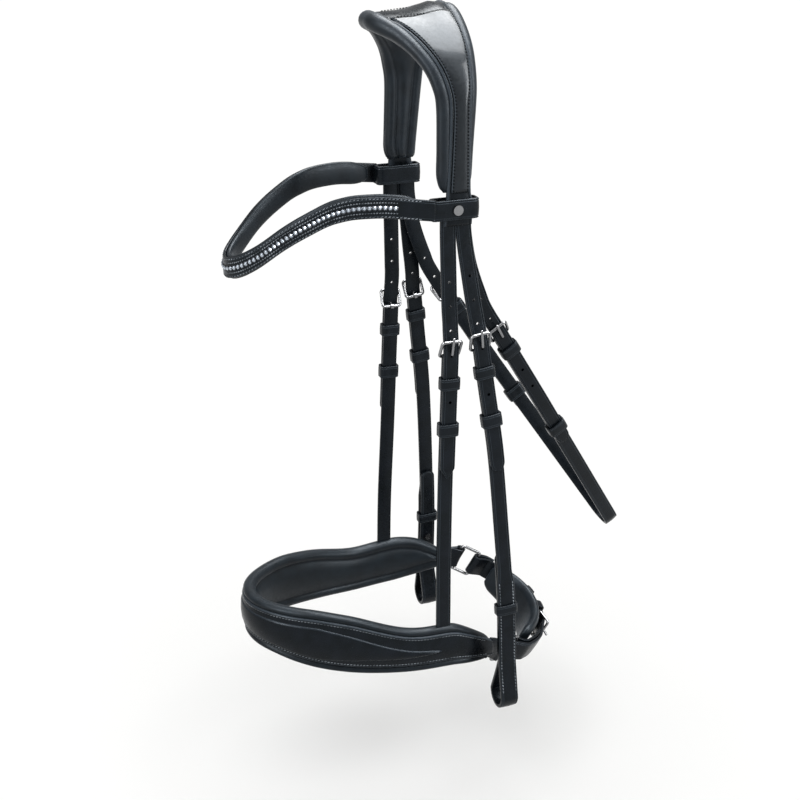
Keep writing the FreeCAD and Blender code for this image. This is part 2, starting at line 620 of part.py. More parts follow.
def build_cheekpieces():
    route = Route(CHEEK_ROUTE)
    heel = buckled_joint("cheek", route, CHEEK_HEEL_Z, -346, -259.5, -301, (-3, -2, -1, 0, 1, 2))
    bottom = route.reach[-1]
    lined = route.where(-450)
    outer = [(heel, STRAP_WIDTH, 0, LEATHER)]
    outer += [(s, STRAP_WIDTH, 0, LEATHER) for s in route.reach if heel < s < lined]
    outer += [(lined, CHEEK_END_WIDTH - 1, 0, LEATHER), (lined + 6, CHEEK_END_WIDTH, 0, BIT_LOOP_WALL),
              (route.reach[-2], CHEEK_END_WIDTH, 0, BIT_LOOP_WALL), (bottom, CHEEK_END_WIDTH, 0, BIT_LOOP_WALL)]
    top = route.where(RETURN_TOP_Z)
    under = -LEATHER - 0.2
    back = [(top, 4, under, LEATHER), (top + 2.5, 10, under, LEATHER), (top + 6, STRAP_WIDTH, under, LEATHER),
            (route.reach[-2], CHEEK_END_WIDTH - 1, under, LEATHER), (bottom, CHEEK_END_WIDTH, under, LEATHER)]
    end = route.points[-1]
    bight = bit_loop(end + Vector(0, 0, 0.6))
    leather = strap(route, outer).fuse([strap(route, back), bight])
    pair("cheek_strap", with_eye(leather, route, heel, STRAP_WIDTH))
    keeper_at = route.where(-476)
    pair("cheek_return_keeper", collar(route, keeper_at, 9, under, BIT_LOOP_WALL, CHEEK_END_WIDTH, SEAM, 1.4))
    point, _run, _across, normal = route.frame(route.where(-497))
    face = point + normal * (under - 0.05)
    button = Part.makeCylinder(2.0, 1.6, face, normal * -1)
    head = Part.makeCylinder(3.2, 1.2, face - normal * 1.6, normal * -1)
    pair("cheek_hook_stud", button.fuse(head))


# ---- noseband slings ------------------------------------------------------------------------
def build_slings():
    route = Route(NOSE_ROUTE)
    heel = buckled_joint("noseband", route, NOSE_HEEL_Z, -352, -267.5, -308, (-3, -2, -1, 0, 1, 2))
    stations = [(s, STRAP_WIDTH, 0, LEATHER) for s in route.stops(heel, route.reach[-1])]
    pair("noseband_sling", with_eye(strap(route, stations), route, heel, STRAP_WIDTH))
    return sling_pocket(route)


# ---- throatlatch ----------------------------------------------------------------------------
def build_throatlatch():
    route = Route(THROAT_ROUTE)
    heel = buckled_joint("throat", route, THROAT_HEEL_Z, -351, -250.5, -334, (-2, -1, 0, 1, 2, 3))
    end, run, across, normal = route.frame(route.reach[-1])
    down = unit(Vector(0, run.y, run.z))
    slant = math.asin(-run.x)
    radius = end.x / math.cos(slant)
    centre = Vector(0, end.y, end.z) - down * (radius * math.sin(slant))
    leg = []
    for s in route.stops(heel, route.reach[-1])[:-1]:
        point, _run, side, out = route.frame(s)
        leg.append(rectangle(point, side, out, STRAP_WIDTH, 0, LEATHER))
    steps = 4
    for i in range(steps):
        a = slant + (math.pi / 2 - slant) * i / steps
        way = LEFT * math.cos(a) + down * math.sin(a)
        leg.append(rectangle(centre + way * radius, across, way, STRAP_WIDTH, 0, LEATHER))
    bottom = rectangle(centre + down * radius, across, down, STRAP_WIDTH, 0, LEATHER)
    other = [[Vector(-p.x, p.y, p.z) for p in s] for s in reversed(leg)]
    loop = loft(leg + [bottom] + other)
    loop = with_eye(loop, route, heel, STRAP_WIDTH)
    right = Route([(-x, y, z) for x, y, z in THROAT_ROUTE], LEFT * -1)
    keep("throat_strap", with_eye(loop, right, heel, STRAP_WIDTH))


build_crown()
build_browband()
pocket = build_slings()
build_noseband(pocket)
build_chin()
build_cheekpieces()
build_throatlatch()

os.makedirs("parts", exist_ok=True)
for name, solid in parts.items():
    solid.exportStep("parts/" + name + ".step")
    print(name, round(solid.Volume), "mm3", len(solid.Faces), "faces")
print(len(parts), "pieces")
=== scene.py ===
# %% [markdown]
# # Snaffle bridle
# A snaffle bridle is a set of straps, buckled and sewn round a horse's head, with padding where it
# presses.  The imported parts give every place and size.  Metal parts keep the shape they were made
# with and get a real finish here.  Leather, padding, stitching and crystals are modelled over the
# plain solids that they stand for.  Lengths are millimetres and become metres when a mesh is made.

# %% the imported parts
import bpy
import math
import numpy as np
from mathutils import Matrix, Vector


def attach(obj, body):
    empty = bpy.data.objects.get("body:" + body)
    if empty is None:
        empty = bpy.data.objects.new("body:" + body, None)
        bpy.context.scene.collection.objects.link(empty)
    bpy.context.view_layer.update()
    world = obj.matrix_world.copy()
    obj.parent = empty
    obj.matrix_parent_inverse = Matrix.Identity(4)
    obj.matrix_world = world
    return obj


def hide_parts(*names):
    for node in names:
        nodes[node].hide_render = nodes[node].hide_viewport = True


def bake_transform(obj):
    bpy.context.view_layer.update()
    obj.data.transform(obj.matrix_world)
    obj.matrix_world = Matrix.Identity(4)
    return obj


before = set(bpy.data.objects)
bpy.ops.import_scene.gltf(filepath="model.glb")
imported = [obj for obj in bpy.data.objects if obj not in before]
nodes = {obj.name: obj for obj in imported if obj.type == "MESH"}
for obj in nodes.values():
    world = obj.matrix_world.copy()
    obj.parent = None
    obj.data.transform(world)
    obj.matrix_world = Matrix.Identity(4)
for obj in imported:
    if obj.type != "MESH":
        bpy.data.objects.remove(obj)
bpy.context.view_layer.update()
SIDES = (("left", 1), ("right", -1))

# %% [markdown]
# ## Materials
# Colours are written as sRGB hex, as a colour chart gives them, but a shader works in linear light,
# so one function turns them.  One more adds a node with its settings and links, which lets a material
# be read from top to bottom.  Patterns use Object coordinates, which are metres here, so a grain of
# 1 mm is a scale of 1000 and stays the same size on every piece.

# %% colour and node helpers
def linear(code):
    """sRGB hex to the linear colour a shader takes."""
    c = np.array([int(code[i:i + 2], 16) for i in (1, 3, 5)]) / 255
    c = np.where(c <= 0.04045, c / 12.92, ((c + 0.055) / 1.055) ** 2.4)
    return (*c.tolist(), 1.0)


def add(tree, kind, links=None, **settings):
    """New node: settings are its properties or its input values, links are input name to socket."""
    node = tree.nodes.new("ShaderNode" + kind)
    for key, value in settings.items():
        if hasattr(node, key):
            setattr(node, key, value)
        else:
            node.inputs[key.replace("_", " ")].default_value = value
    for key, socket in (links or {}).items():
        tree.links.new(socket, node.inputs[key])
    return node


def surface(name, **settings):
    """Material with its node tree and Principled shader; settings are that shader's sockets."""
    material = bpy.data.materials.new(name)
    material.use_nodes = True
    shader = material.node_tree.nodes["Principled BSDF"]
    for key, value in settings.items():
        shader.inputs[key.replace("_", " ")].default_value = value
    return material, material.node_tree, shader


print("black dye is", [round(c, 4) for c in linear("#050709")[:3]], "in linear light")

# %% [markdown]
# ### Leather
# Bridle leather is dyed through and finished with wax.  The eye reads it by its polish, which is a
# little uneven, by a fine pebble grain, and by pale lines along edges and creases, which are painted
# highlight.  An image could hold all that, but noise and cells at real sizes need no unwrapping.  The
# painted highlight lines are an attribute that each mesh carries, because they belong to its edges.

# %% dyed leather
DYE_CLOUDS = 90.0       # cycles per metre: clouds in the dye about 11 mm across
POLISH_MARKS = 420.0    # cycles per metre: handling marks about 2.4 mm across
PEBBLE_RISE, FINE_RISE = 0.0002, 0.0001     # height of the grain in metres


def leather(name, dark, light, rough, grain, depth, coat=0.0, sheen=0.0, gloss=0.22):
    """Dyed leather: pebble grain of the given size in mm, cloudy dye, and polish that varies.
    The painted_highlight attribute mixes in a paler grey along edges and creases, a painted highlight."""
    material, tree, shader = surface(name, Coat_Weight=coat, Coat_Roughness=0.12, Coat_IOR=1.4,
                                     Sheen_Weight=sheen, Sheen_Roughness=0.4, Specular_IOR_Level=gloss,
                                     Sheen_Tint=linear("#b9cbe0"), Specular_Tint=linear("#dde8f2"))
    place = add(tree, "TexCoord").outputs["Object"]
    cloud = add(tree, "TexNoise", {"Vector": place}, Scale=DYE_CLOUDS, Detail=4.0)
    wear = add(tree, "TexNoise", {"Vector": place}, Scale=POLISH_MARKS, Detail=3.0)
    cells = add(tree, "TexVoronoi", {"Vector": place}, Scale=1000.0 / grain, feature="DISTANCE_TO_EDGE")
    fine = add(tree, "TexNoise", {"Vector": place}, Scale=2200.0 / grain, Detail=2.0)
    dye = add(tree, "ValToRGB", {"Fac": cloud.outputs["Fac"]})
    for stop, position, code in zip(dye.color_ramp.elements, (0.35, 0.7), (dark, light)):
        stop.position = position
        stop.color = linear(code)
    painted_highlight = add(tree, "Attribute", attribute_name="painted_highlight")
    colour = add(tree, "Mix", data_type="RGBA")
    tree.links.new(painted_highlight.outputs["Fac"], colour.inputs[0])
    tree.links.new(dye.outputs["Color"], colour.inputs[6])
    # paler grey mixed in by the attribute: a painted highlight on edges and creases
    colour.inputs[7].default_value = linear("#24292e")
    tree.links.new(colour.outputs[2], shader.inputs["Base Color"])
    polish = add(tree, "MapRange", {"Value": wear.outputs["Fac"]}, From_Min=0.3, From_Max=0.7,
                 To_Min=rough - 0.06, To_Max=rough + 0.08)
    tree.links.new(polish.outputs["Result"], shader.inputs["Roughness"])
    pebble = add(tree, "Bump", {"Height": cells.outputs["Distance"]}, Strength=depth, Distance=PEBBLE_RISE)
    bump = add(tree, "Bump", {"Height": fine.outputs["Fac"], "Normal": pebble.outputs["Normal"]},
               Strength=depth * 0.7, Distance=FINE_RISE)
    tree.links.new(bump.outputs["Normal"], shader.inputs["Normal"])
    return material


# bridle leather: waxed, close grain, blue-black dye
BRIDLE = leather("bridle_leather", "#050709", "#090c10", 0.29, 0.9, 0.08, gloss=0.17)
# strap leather of the keepers, cut thinner and a little duller
STRAP = leather("strap_leather", "#050709", "#0a0d11", 0.3, 0.8, 0.08, gloss=0.18)
# lining: soft full-grain leather over foam, with a deeper grain and a trace of sheen
LINING = leather("soft_lining", "#070a0d", "#0d1216", 0.4, 0.7, 0.22, sheen=0.03, gloss=0.22)
# the crown's lining and rolls: smoother and glossier than the soft lining, with a slightly paler dye that is
# painted light from the lamp above the crown
ROLLED_PAINTED_LIGHTER = leather("rolled_lining_painted_lighter", "#080b0e", "#10151a", 0.42, 0.7, 0.16, sheen=0.03, gloss=0.27)
# the crown's insets are polished leather with a clear coat, which mirrors the lamp above
GLOSS = leather("gloss_leather", "#050709", "#080b0e", 0.36, 1.6, 0.02, coat=0.22, gloss=0.24)
# plain black thread round the insets reads dark on the gloss
BLACK_THREAD = leather("black_thread", "#030405", "#07090b", 0.55, 0.3, 0.2, gloss=0.08)
# waxed thread elsewhere: dark to mid grey, a painted highlight for the glints of light on its lay
THREAD = leather("waxed_thread_painted_glint", "#24282c", "#6a6f74", 0.4, 0.3, 0.4, gloss=0.4)
print(len(bpy.data.materials), "materials so far")

# %% [markdown]
# ### Metal and crystal
# Buckles are cast steel, polished and nickel plated.  A plain mirror looks like glass, so the
# roughness varies with faint handling marks.  The crystals are foil-backed: the foil returns the
# light, so a bright metallic base under a clear coat does what a costly transmission would.

# %% plated metal and cut crystal
HANDLING = 700.0    # cycles per metre: marks about 1.4 mm across


def metal(name, colour, rough):
    """Polished plated steel: noise widens the roughness and lifts the surface very slightly."""
    material, tree, shader = surface(name, Metallic=1.0, Base_Color=linear(colour))
    place = add(tree, "TexCoord").outputs["Object"]
    marks = add(tree, "TexNoise", {"Vector": place}, Scale=HANDLING, Detail=5.0)
    polish = add(tree, "MapRange", {"Value": marks.outputs["Fac"]}, From_Min=0.3, From_Max=0.7,
                 To_Min=rough, To_Max=rough + 0.12)
    tree.links.new(polish.outputs["Result"], shader.inputs["Roughness"])
    bump = add(tree, "Bump", {"Height": marks.outputs["Fac"]}, Strength=0.08, Distance=0.0001)
    tree.links.new(bump.outputs["Normal"], shader.inputs["Normal"])
    return material


NICKEL = metal("nickel_plate", "#838486", 0.18)
# blackened cups hold the crystals, so that the stones seem to stand alone
CUP = metal("blackened_cup", "#4a4d52", 0.3)
CRYSTAL = surface("cut_crystal", Base_Color=linear("#aab3bd"), Metallic=0.9, Roughness=0.05,
                  Coat_Weight=1.0, Coat_Roughness=0.02)[0]
print("finishes:", ", ".join(m.name for m in bpy.data.materials))

# %% [markdown]
# ## Metal parts
# Buckles, tongues, rings and studs are exact already.  They only take the nickel finish and smooth
# shading, and their meshes stay as they are.

# %% plating
METAL_WORDS = ("buckle", "tongue", "ring", "stud")
plated = [node for name, node in nodes.items() if any(word in name for word in METAL_WORDS)]
for node in plated:
    node.data.materials.clear()
    node.data.materials.append(NICKEL)
    node.data.shade_smooth()
print(len(plated), "metal parts plated")

# %% [markdown]
# ## Mesh tools
# Almost everything here is long and keeps much the same section, so the basic shape is a loft: a grid
# of points with one row per station and one column per point of the section.  It could be a curve
# with a bevel, but a loft lets width, thickness and tilt change along the way, and every column can
# carry its own painted highlight, a pale line where light catches an edge or crease.

# %% meshes from grids
def mesh_object(name, points, quads, material, body, caps=(), painted_highlight=None):
    """Mesh from a (n, 3) array in mm and a (m, 4) array of corners, plus end faces."""
    mesh = bpy.data.meshes.new(name)
    mesh.from_pydata((points / 1000).tolist(), [], quads.tolist() + [list(c) for c in caps])
    mesh.validate()
    mesh.shade_smooth()
    mesh.materials.append(material)
    # per-point share of the paler grey, a painted highlight, read by the leather shader
    if painted_highlight is not None:
        mesh.attributes.new("painted_highlight", "FLOAT", "POINT").data.foreach_set("value", painted_highlight.astype(np.float32))
    piece = bpy.data.objects.new(name, mesh)
    bpy.context.scene.collection.objects.link(piece)
    if body:
        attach(piece, body)
    return piece


def grid_quads(rows, columns, closed_rows=False):
    """Corners of a grid closed round its columns, and round its rows if asked."""
    r = np.arange(rows if closed_rows else rows - 1)[:, None]
    c = np.arange(columns)[None, :]
    nr, nc = (r + 1) % rows, (c + 1) % columns
    corners = [r * columns + c, r * columns + nc, nr * columns + nc, nr * columns + c]
    return np.stack(corners, -1).reshape(-1, 4)


def loft(name, sections, material, body, closed=False, painted_highlight=None):
    """Surface through a (rows, columns, 3) array, capped unless closed; painted_highlight is one value per
    column.
    """
    rows, columns = sections.shape[:2]
    painted_highlight = None if painted_highlight is None else np.tile(np.asarray(painted_highlight, float), rows)
    quads = grid_quads(rows, columns, closed)
    caps = () if closed else (range(columns - 1, -1, -1), range((rows - 1) * columns, rows * columns))
    return mesh_object(name, sections.reshape(-1, 3), quads, material, body, caps, painted_highlight)


print("a loft of 4 rows and 6 columns has", len(grid_quads(4, 6)), "faces and two caps")

# %% lines and directions
def unit(v):
    """Vectors of length one."""
    return v / np.linalg.norm(v, axis=-1, keepdims=True)


def evenly(line, at, reach):
    """Each column of a line, read at the given distances along it."""
    return np.stack([np.interp(at, reach, line[:, k]) for k in range(line.shape[1])], -1)


def distance_along(line):
    """Distance from the first point to each point of a line."""
    return np.concatenate([[0], np.cumsum(np.linalg.norm(np.diff(line, axis=0), axis=1))])


def spline(points, step=3.0, closed=False):
    """Catmull-Rom curve through the points, each column smoothed alike, sampled evenly in mm."""
    p = np.asarray(points, float)
    if closed:
        p = np.vstack([p[-1], p, p[0], p[1]])
    else:
        p = np.vstack([2 * p[0] - p[1], p, 2 * p[-1] - p[-2]])
    t = np.linspace(0, 1, 24, endpoint=False)[:, None]
    runs = []
    for a, b, c, d in zip(p, p[1:], p[2:], p[3:]):
        runs.append(0.5 * (2 * b + (c - a) * t + (2 * a - 5 * b + 4 * c - d) * t ** 2
                           + (3 * b - a - 3 * c + d) * t ** 3))
    line = np.vstack(runs + [p[-2:-1]])
    reach = distance_along(line[:, :3])
    count = max(4, int(round(reach[-1] / step)) + 1)
    out = evenly(line, np.linspace(0, reach[-1], count), reach)
    return out[:-1] if closed else out


def from_ends(count):
    """Steps from the nearer end, for each point of a line."""
    return np.minimum(np.arange(count), count - 1 - np.arange(count))


def rounded(from_end, reach, least, power=2.0):
    """Share of full size near a rounded end: a quarter ellipse over the reach, never under least."""
    return np.sqrt(np.clip(1 - np.clip(1 - from_end / reach, 0, 1) ** power, least, 1))


def facing_out(ring, up):
    """Outward direction at each point of a closed ring whose band stands along up."""
    out = np.cross(unit(np.roll(ring, -1, 0) - np.roll(ring, 1, 0)), up)
    return out * np.sign(np.sum(out * (ring - ring.mean(0)), -1).sum())


print("half a turn of radius 10 is", len(spline([(10, 0, 0), (0, 10, 0), (-10, 0, 0)])), "points")

# %% [markdown]
# ### A strap's section
# A saddler rounds both edges of a strap and presses a crease just inside them.  Bump could fake the
# crease, but it would not be in the mesh, so the section has real points for it.

# %% straps
EDGE = 0.9              # rounding of a strap's edges
CREASE = 1.7            # pressed line, in from the edge
CREASE_DEPTH = 0.42
# share of the pale grey painted highlight on the rounded edge and beside the crease
PAINTED_EDGE_HIGHLIGHT, PAINTED_CREASE_HIGHLIGHT = 0.7, 0.8


def strap_profile(edge=EDGE, crease=CREASE, depth=CREASE_DEPTH, dome=0.3):
    """Half of the face and half of the back as (inset, on face?, rise) from edge to middle:
    a quarter circle at the edge, then the pressed crease."""
    turn = np.radians([0, 30, 60, 90])
    face = [(edge * (1 - math.cos(a)), 1, -edge * (1 - math.sin(a))) for a in turn]
    face += [(crease - 0.45, 1, 0.0), (crease, 1, -depth), (crease + 0.4, 1, 0.03), (crease + 0.8, 1, 0.05)]
    back = [(edge * 0.6 * (1 - math.cos(a)), 0, edge * 0.6 * (1 - math.sin(a))) for a in turn]
    return face, back, dome


def painted_highlight_share(on_face, inset):
    """How much of the pale grey painted highlight a column of the section takes."""
    if on_face and 0.3 < inset < 0.8:
        return PAINTED_EDGE_HIGHLIGHT
    return PAINTED_CREASE_HIGHLIGHT if on_face and 1.9 < inset < 2.2 else 0.0


def band(name, line, across, normal, half, low, high, material, body, closed=False, profile=None):
    """Strap along a line: point = line + across * (half - inset) + normal * (height + rise).
    Half width and the heights of back and face may vary along it."""
    face, back, dome = profile or strap_profile()
    n = len(line)
    half, low, high = (np.broadcast_to(np.asarray(v, float), (n,)) for v in (half, low, high))
    squeeze = np.minimum(1, half / 4)
    side = [(-1, *f) for f in face] + [(0, 0, 1, dome)] + [(1, *f) for f in face[::-1]]
    side += [(1, *b) for b in back] + [(0, 0, 0, 0)] + [(-1, *b) for b in back[::-1]]
    columns = []
    for sign, inset, on_face, rise in side:
        a = sign * (half - inset * squeeze)
        v = (high if on_face else low) + rise * squeeze
        columns.append(line + across * a[:, None] + normal * v[:, None])
    # pale grey painted highlight for each column of the section
    painted_highlight = [painted_highlight_share(on_face, inset) for _sign, inset, on_face, _rise in side]
    return loft(name, np.stack(columns, 1), material, body, closed, painted_highlight)


print("a strap's section has", 2 * sum(map(len, strap_profile()[:2])) + 2, "points")

# %% [markdown]
# ### Stitches and other repeats
# A stitch is a short spindle of thread that lies slightly across the seam.  Hundreds are needed, so
# each has a few faces only and the whole row is one mesh: one small shape, copied by a matrix product.

# %% stitches
STITCH_SLANT = 0.18     # a hand-sewn stitch lies across its row by this share of its length
STITCH_HEIGHT = 0.55


def scatter(name, template, faces, centres, axes, material, body):
    """Copies of a small shape: centres (n, 3), axes (n, 3, 3) with the shape's x, y, z as rows."""
    points = centres[:, None, :] + np.einsum("vk,nkj->nvj", template, axes)
    shifts = (np.arange(len(centres)) * len(template)).tolist()
    mesh = bpy.data.meshes.new(name)
    mesh.from_pydata((points.reshape(-1, 3) / 1000).tolist(), [],
                     [tuple(corner + s for corner in f) for s in shifts for f in faces])
    mesh.materials.append(material)
    piece = bpy.data.objects.new(name, mesh)
    bpy.context.scene.collection.objects.link(piece)
    if body:
        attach(piece, body)
    return piece


def stitch_shape(length, width, height):
    """One stitch: a six-sided spindle lying along x, as points and faces."""
    rings = [(-0.5, 0.35), (-0.25, 0.95), (0.25, 0.95), (0.5, 0.35)]
    turn = np.radians(np.arange(6) * 60)
    points = [(x * length, r * width / 2 * math.cos(a), r * height / 2 * math.sin(a))
              for x, r in rings for a in turn]
    faces = [tuple(q) for q in grid_quads(4, 6).tolist()] + [tuple(range(5, -1, -1)), tuple(range(18, 24))]
    return np.array(points), faces


def stitch(name, line, normal, body, pitch=3.0, width=0.75, material=THREAD):
    """A row of stitches, one every pitch along a line of points on the surface."""
    reach = distance_along(line)
    at = np.arange(pitch / 2, reach[-1], pitch)
    up = unit(evenly(normal, at, reach))
    run = evenly(np.stack([np.gradient(line[:, k], reach) for k in range(3)], -1), at, reach)
    run = unit(run - up * np.sum(run * up, -1, keepdims=True))
    lay = unit(run + np.cross(up, run) * STITCH_SLANT)
    axes = np.stack([lay, np.cross(up, lay), up], 1)
    shape, faces = stitch_shape(pitch * 0.72, width, STITCH_HEIGHT)
    piece = scatter(name, shape, faces, evenly(line, at, reach), axes, material, body)
    piece.data.shade_smooth()
    return piece


print("one stitch has", len(stitch_shape(2, 0.75, 0.55)[1]), "faces")

# %% [markdown]
# ## Crown
# The crown carries the whole bridle over the poll, just behind the ears.  It is cut back round the
# ears, wide at the top and slim at the sides, and its padding stands up in rolls along both edges.
# One set of stations gives the outer face of the padding and its front and rear edges.  Both sides
# are mirror images, so only the left is listed, and the mirrored half is joined on by a formula.

# %% stations over the poll
RADIUS, RISE, SPRING = 58.0, 58.0, -48.0    # half width, height and foot of the arch
STATION_STEP = 2.5
STATIONS = [(RADIUS * math.sin(math.radians(a)), SPRING + RISE * math.cos(math.radians(a)), f, r)
            for a, f, r in ((0, -50, 20), (15, -47, 21), (30, -37, 22), (45, -28, 22), (60, -20, 21),
                            (75, -15, 20), (90, -12.5, 19))]
STATIONS += [(59.7, -80.0, -12.5, 16.5), (61.3, -112.0, -13.0, 14.5)]
SPLIT = [(61.6, -120.0, -12.5, 15.5), (61.6, -130.0, -12.0, 15.0), (61.6, -138.0, -11.6, 14.6)]


def over(rows):
    """Both sides of (x, z, front y, rear y) rows, smoothed: line in the XZ plane, edges, normal."""
    rows = np.array([(x, 0, z, f, r) for x, z, f, r in rows])
    if rows[0, 0] == 0:
        rows = np.vstack([rows[::-1], rows[1:] * (-1, 1, 1, 1, 1)])
    curve = spline(rows, STATION_STEP)
    line, front, rear = curve[:, :3], curve[:, 3], curve[:, 4]
    run = unit(np.gradient(line, axis=0))
    normal = np.stack([run[:, 2], np.zeros(len(run)), -run[:, 0]], -1)
    return line, front, rear, -normal if normal[:, 2].sum() < 0 else normal


def lifted(x, y):
    """Height added near the poll: an even rise, and a broad hump over the rear half, both Gaussian."""
    return 2.6 * np.exp(-(x / 34) ** 2) + 6.5 * np.exp(-(x / 27) ** 2 - ((y - 6) / 15) ** 2)


def sideways(y):
    """Points moved along Y only."""
    return np.stack([0 * y, y, 0 * y], -1)


print("the crown's line has", len(over(STATIONS)[0]), "stations")

# %% crown lofts
def crown_loft(name, rows, profile, material, ends=0.0):
    """Loft over the poll: point = line + normal * height + y.
    Profile rows are (edge f or r, or a share of the width; inset; height)."""
    line, front, rear, normal = over(rows)
    edge = {"f": front, "r": rear}
    inward = {"f": 1, "r": -1}
    near_end = from_ends(len(line)) * STATION_STEP
    swell = rounded(near_end, ends, 0.02) if ends else np.ones(len(line))
    columns, painted_highlight = [], []
    for which, inset, height in profile:
        y = edge[which] + inward[which] * inset if which in edge else front + (rear - front) * which + inset
        h = height * swell + lifted(line[:, 0], y)
        columns.append(line + normal * h[:, None] + sideways(y))
        # painted highlight, a paler grey, along the leather's rounded edges
        painted_highlight.append(1.0 if not ends and which in edge and 0.2 < inset < 1.2 else 0.0)
    return loft(name, np.stack(columns, 1), material, "headpiece", painted_highlight=painted_highlight)


def roll(name, which, inset, base, extra, dip):
    """Stuffed roll along one edge, an ellipse in section: half height and half width grow by extra
    near the poll, and dip between the ears."""
    line, front, rear, normal = over(STATIONS)
    x = line[:, 0]
    grow = np.exp(-(x / 30) ** 2) - dip * np.exp(-(x / 6) ** 2)
    close = rounded(from_ends(len(line)) * STATION_STEP, 14, 0.02)
    y = front + inset if which == "f" else rear - inset
    centre = line + normal * (-2.2 + lifted(x, y))[:, None] + sideways(y)
    tall, wide = (base[0] + extra[0] * grow) * close, (base[1] + extra[1] * grow) * close
    columns = [centre + normal * (np.sin(a) * tall)[:, None] + sideways(np.cos(a) * wide)
               for a in np.radians(np.arange(0, 360, 20))]
    piece = loft(name, np.stack(columns, 1), ROLLED_PAINTED_LIGHTER, "headpiece")
    return piece


print("crown tools ready")

# %% [markdown]
# ### Padding
# The padding is foam in soft leather, sewn down the middle so that it swells along both edges.  The
# profile goes once round it: over the outer face, then back along the horse's side.

# %% crown padding
PAD_PROFILE = [("f", 0, -3.4), ("f", 0.6, -0.9), ("f", 2.2, 1.2), ("f", 4.6, 2.0), ("f", 7.0, 1.2),
               ("f", 8.6, -0.6), (0.5, 0, -1), ("r", 8.6, -0.6), ("r", 7.0, 1.2), ("r", 4.6, 2.0),
               ("r", 2.2, 1.2), ("r", 0.6, -0.9), ("r", 0, -3.4), ("r", 0.8, -6.4), ("r", 2.6, -8.3),
               ("r", 5, -9.0), ("r", 7.4, -8.3), ("r", 8.8, -7.0), ("r", 10.5, -8.6), (0.5, 3, -10.2),
               (0.5, -3, -10.2), ("f", 10.5, -8.6), ("f", 8.8, -7.0), ("f", 7.4, -8.3), ("f", 5, -9.0),
               ("f", 2.6, -8.3), ("f", 0.8, -6.4)]
# the padding ends above the highest place that the browband's loops slide to
PAD_FOOT = [(60.8, -101.0, -12.8, 15.0), (61.3, -112.2, -8.9, 14.5)]
pad = crown_loft("crown_padding", STATIONS[:-1] + PAD_FOOT, PAD_PROFILE, ROLLED_PAINTED_LIGHTER, ends=7.0)
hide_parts("crown_pad")
roll("crown_roll_front", "f", 5.6, (4.6, 6.0), (3.0, 2.2), 0.35)
roll("crown_roll_rear", "r", 5.0, (4.4, 5.2), (4.6, 2.6), 0.6)
print("padding and two rolls done")

# %% [markdown]
# ### Outer leather and gloss panels
# The outer leather lies on the padding and leaves its rolls in sight.  Its margins are listed per
# station, because the leather is cut as its own pattern.  A polished panel is sewn to each side.

# %% crown leather
LEATHER_PROFILE = [("f", 0, 1.0), ("f", 0.3, 2.6), ("f", 1.1, 3.3), ("f", 2.2, 3.35), ("f", 2.8, 2.9),
                   ("f", 3.5, 3.35), (0.35, 0, 3.55), (0.5, 0, 3.6), (0.65, 0, 3.6), (0.8, 0, 3.5),
                   ("r", 3.5, 3.35), ("r", 2.8, 2.9), ("r", 2.2, 3.35), ("r", 1.1, 3.3), ("r", 0.3, 2.6),
                   ("r", 0, 1.0), ("r", 0.6, 0.2), (0.75, 0, 0.2), (0.5, 0, 0.2), (0.3, 0, 0.2),
                   ("f", 0.6, 0.2)]
FRONT_MARGIN = [8.5] * 7 + [7.5, 6.0, 5.0, 3.5, 2.0]
REAR_MARGIN = [5.0] * 7 + [3.0, 1.2, 0.2, 0.0, 0.0]
SHELL = [(x, z, f + m, r - k) for (x, z, f, r), m, k in zip(STATIONS + SPLIT, FRONT_MARGIN, REAR_MARGIN)]
shell = crown_loft("crown_shell", SHELL, LEATHER_PROFILE, BRIDLE)
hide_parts("crown_leather")
print("crown leather over", len(SHELL), "stations a side")

# %% gloss panels
PANEL_PROFILE = [("f", 0, 3.4), ("f", 0.6, 4.2), ("f", 2.4, 4.5), (0.35, 0, 4.75), (0.5, 0, 4.8),
                 (0.65, 0, 4.8), (0.8, 0, 4.7), ("r", 2.4, 4.5), ("r", 0.6, 4.2), ("r", 0, 3.4),
                 (0.5, 0, 3.0)]
PANEL_FRONT, PANEL_REAR = 3.0, 1.8      # the panel's edges, in from the leather's
SEAM_INSET, SEAM_HEIGHT, SEAM_TURN = 1.6, 4.45, 12


def crown_line(rows, which, inset, height):
    """Line on the crown's face, at an inset from one edge, with its normal."""
    line, front, rear, normal = over(rows)
    y = front + inset if which == "f" else rear - inset
    return line + normal * (height + lifted(line[:, 0], y))[:, None] + sideways(y), normal


for side, sign in SIDES:
    # the panel starts beside the poll and ends above the browband's loop
    rows = [(sign * x, z, f + PANEL_FRONT, r - PANEL_REAR) for x, z, f, r in SHELL[1:9]]
    panel = crown_loft("crown_inset_" + side + "_gloss", rows, PANEL_PROFILE, GLOSS)
    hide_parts("crown_inset_" + side)
    front, normal = crown_line(rows, "f", SEAM_INSET, SEAM_HEIGHT)
    rear = crown_line(rows, "r", SEAM_INSET, SEAM_HEIGHT)[0]
    share = np.linspace(0, 1, SEAM_TURN + 2)[1:-1, None]
    top = rear[0] + (front[0] - rear[0]) * share
    foot = front[-1] + (rear[-1] - front[-1]) * share
    outline = np.vstack([front, foot, rear[::-1], top])
    ups = np.vstack([normal, np.tile(normal[-1], (SEAM_TURN, 1)), normal[::-1],
                     np.tile(normal[0], (SEAM_TURN, 1))])
    seam = stitch("inset_stitch_" + side, outline, ups, "headpiece", pitch=2.6, width=1.5,
                  material=BLACK_THREAD)
    print(side, "panel and a seam of", len(seam.data.polygons) // 20, "stitches")

# %% [markdown]
# ## Browband
# The browband crosses the forehead below the ears and keeps the crown from sliding back.  In plan it
# is half an ellipse of half width B(t) and depth D: x = B sin t, y = y0 - D cos t.  Its height follows
# y and is lowest at the middle of the forehead, so seen from the front the band dips.

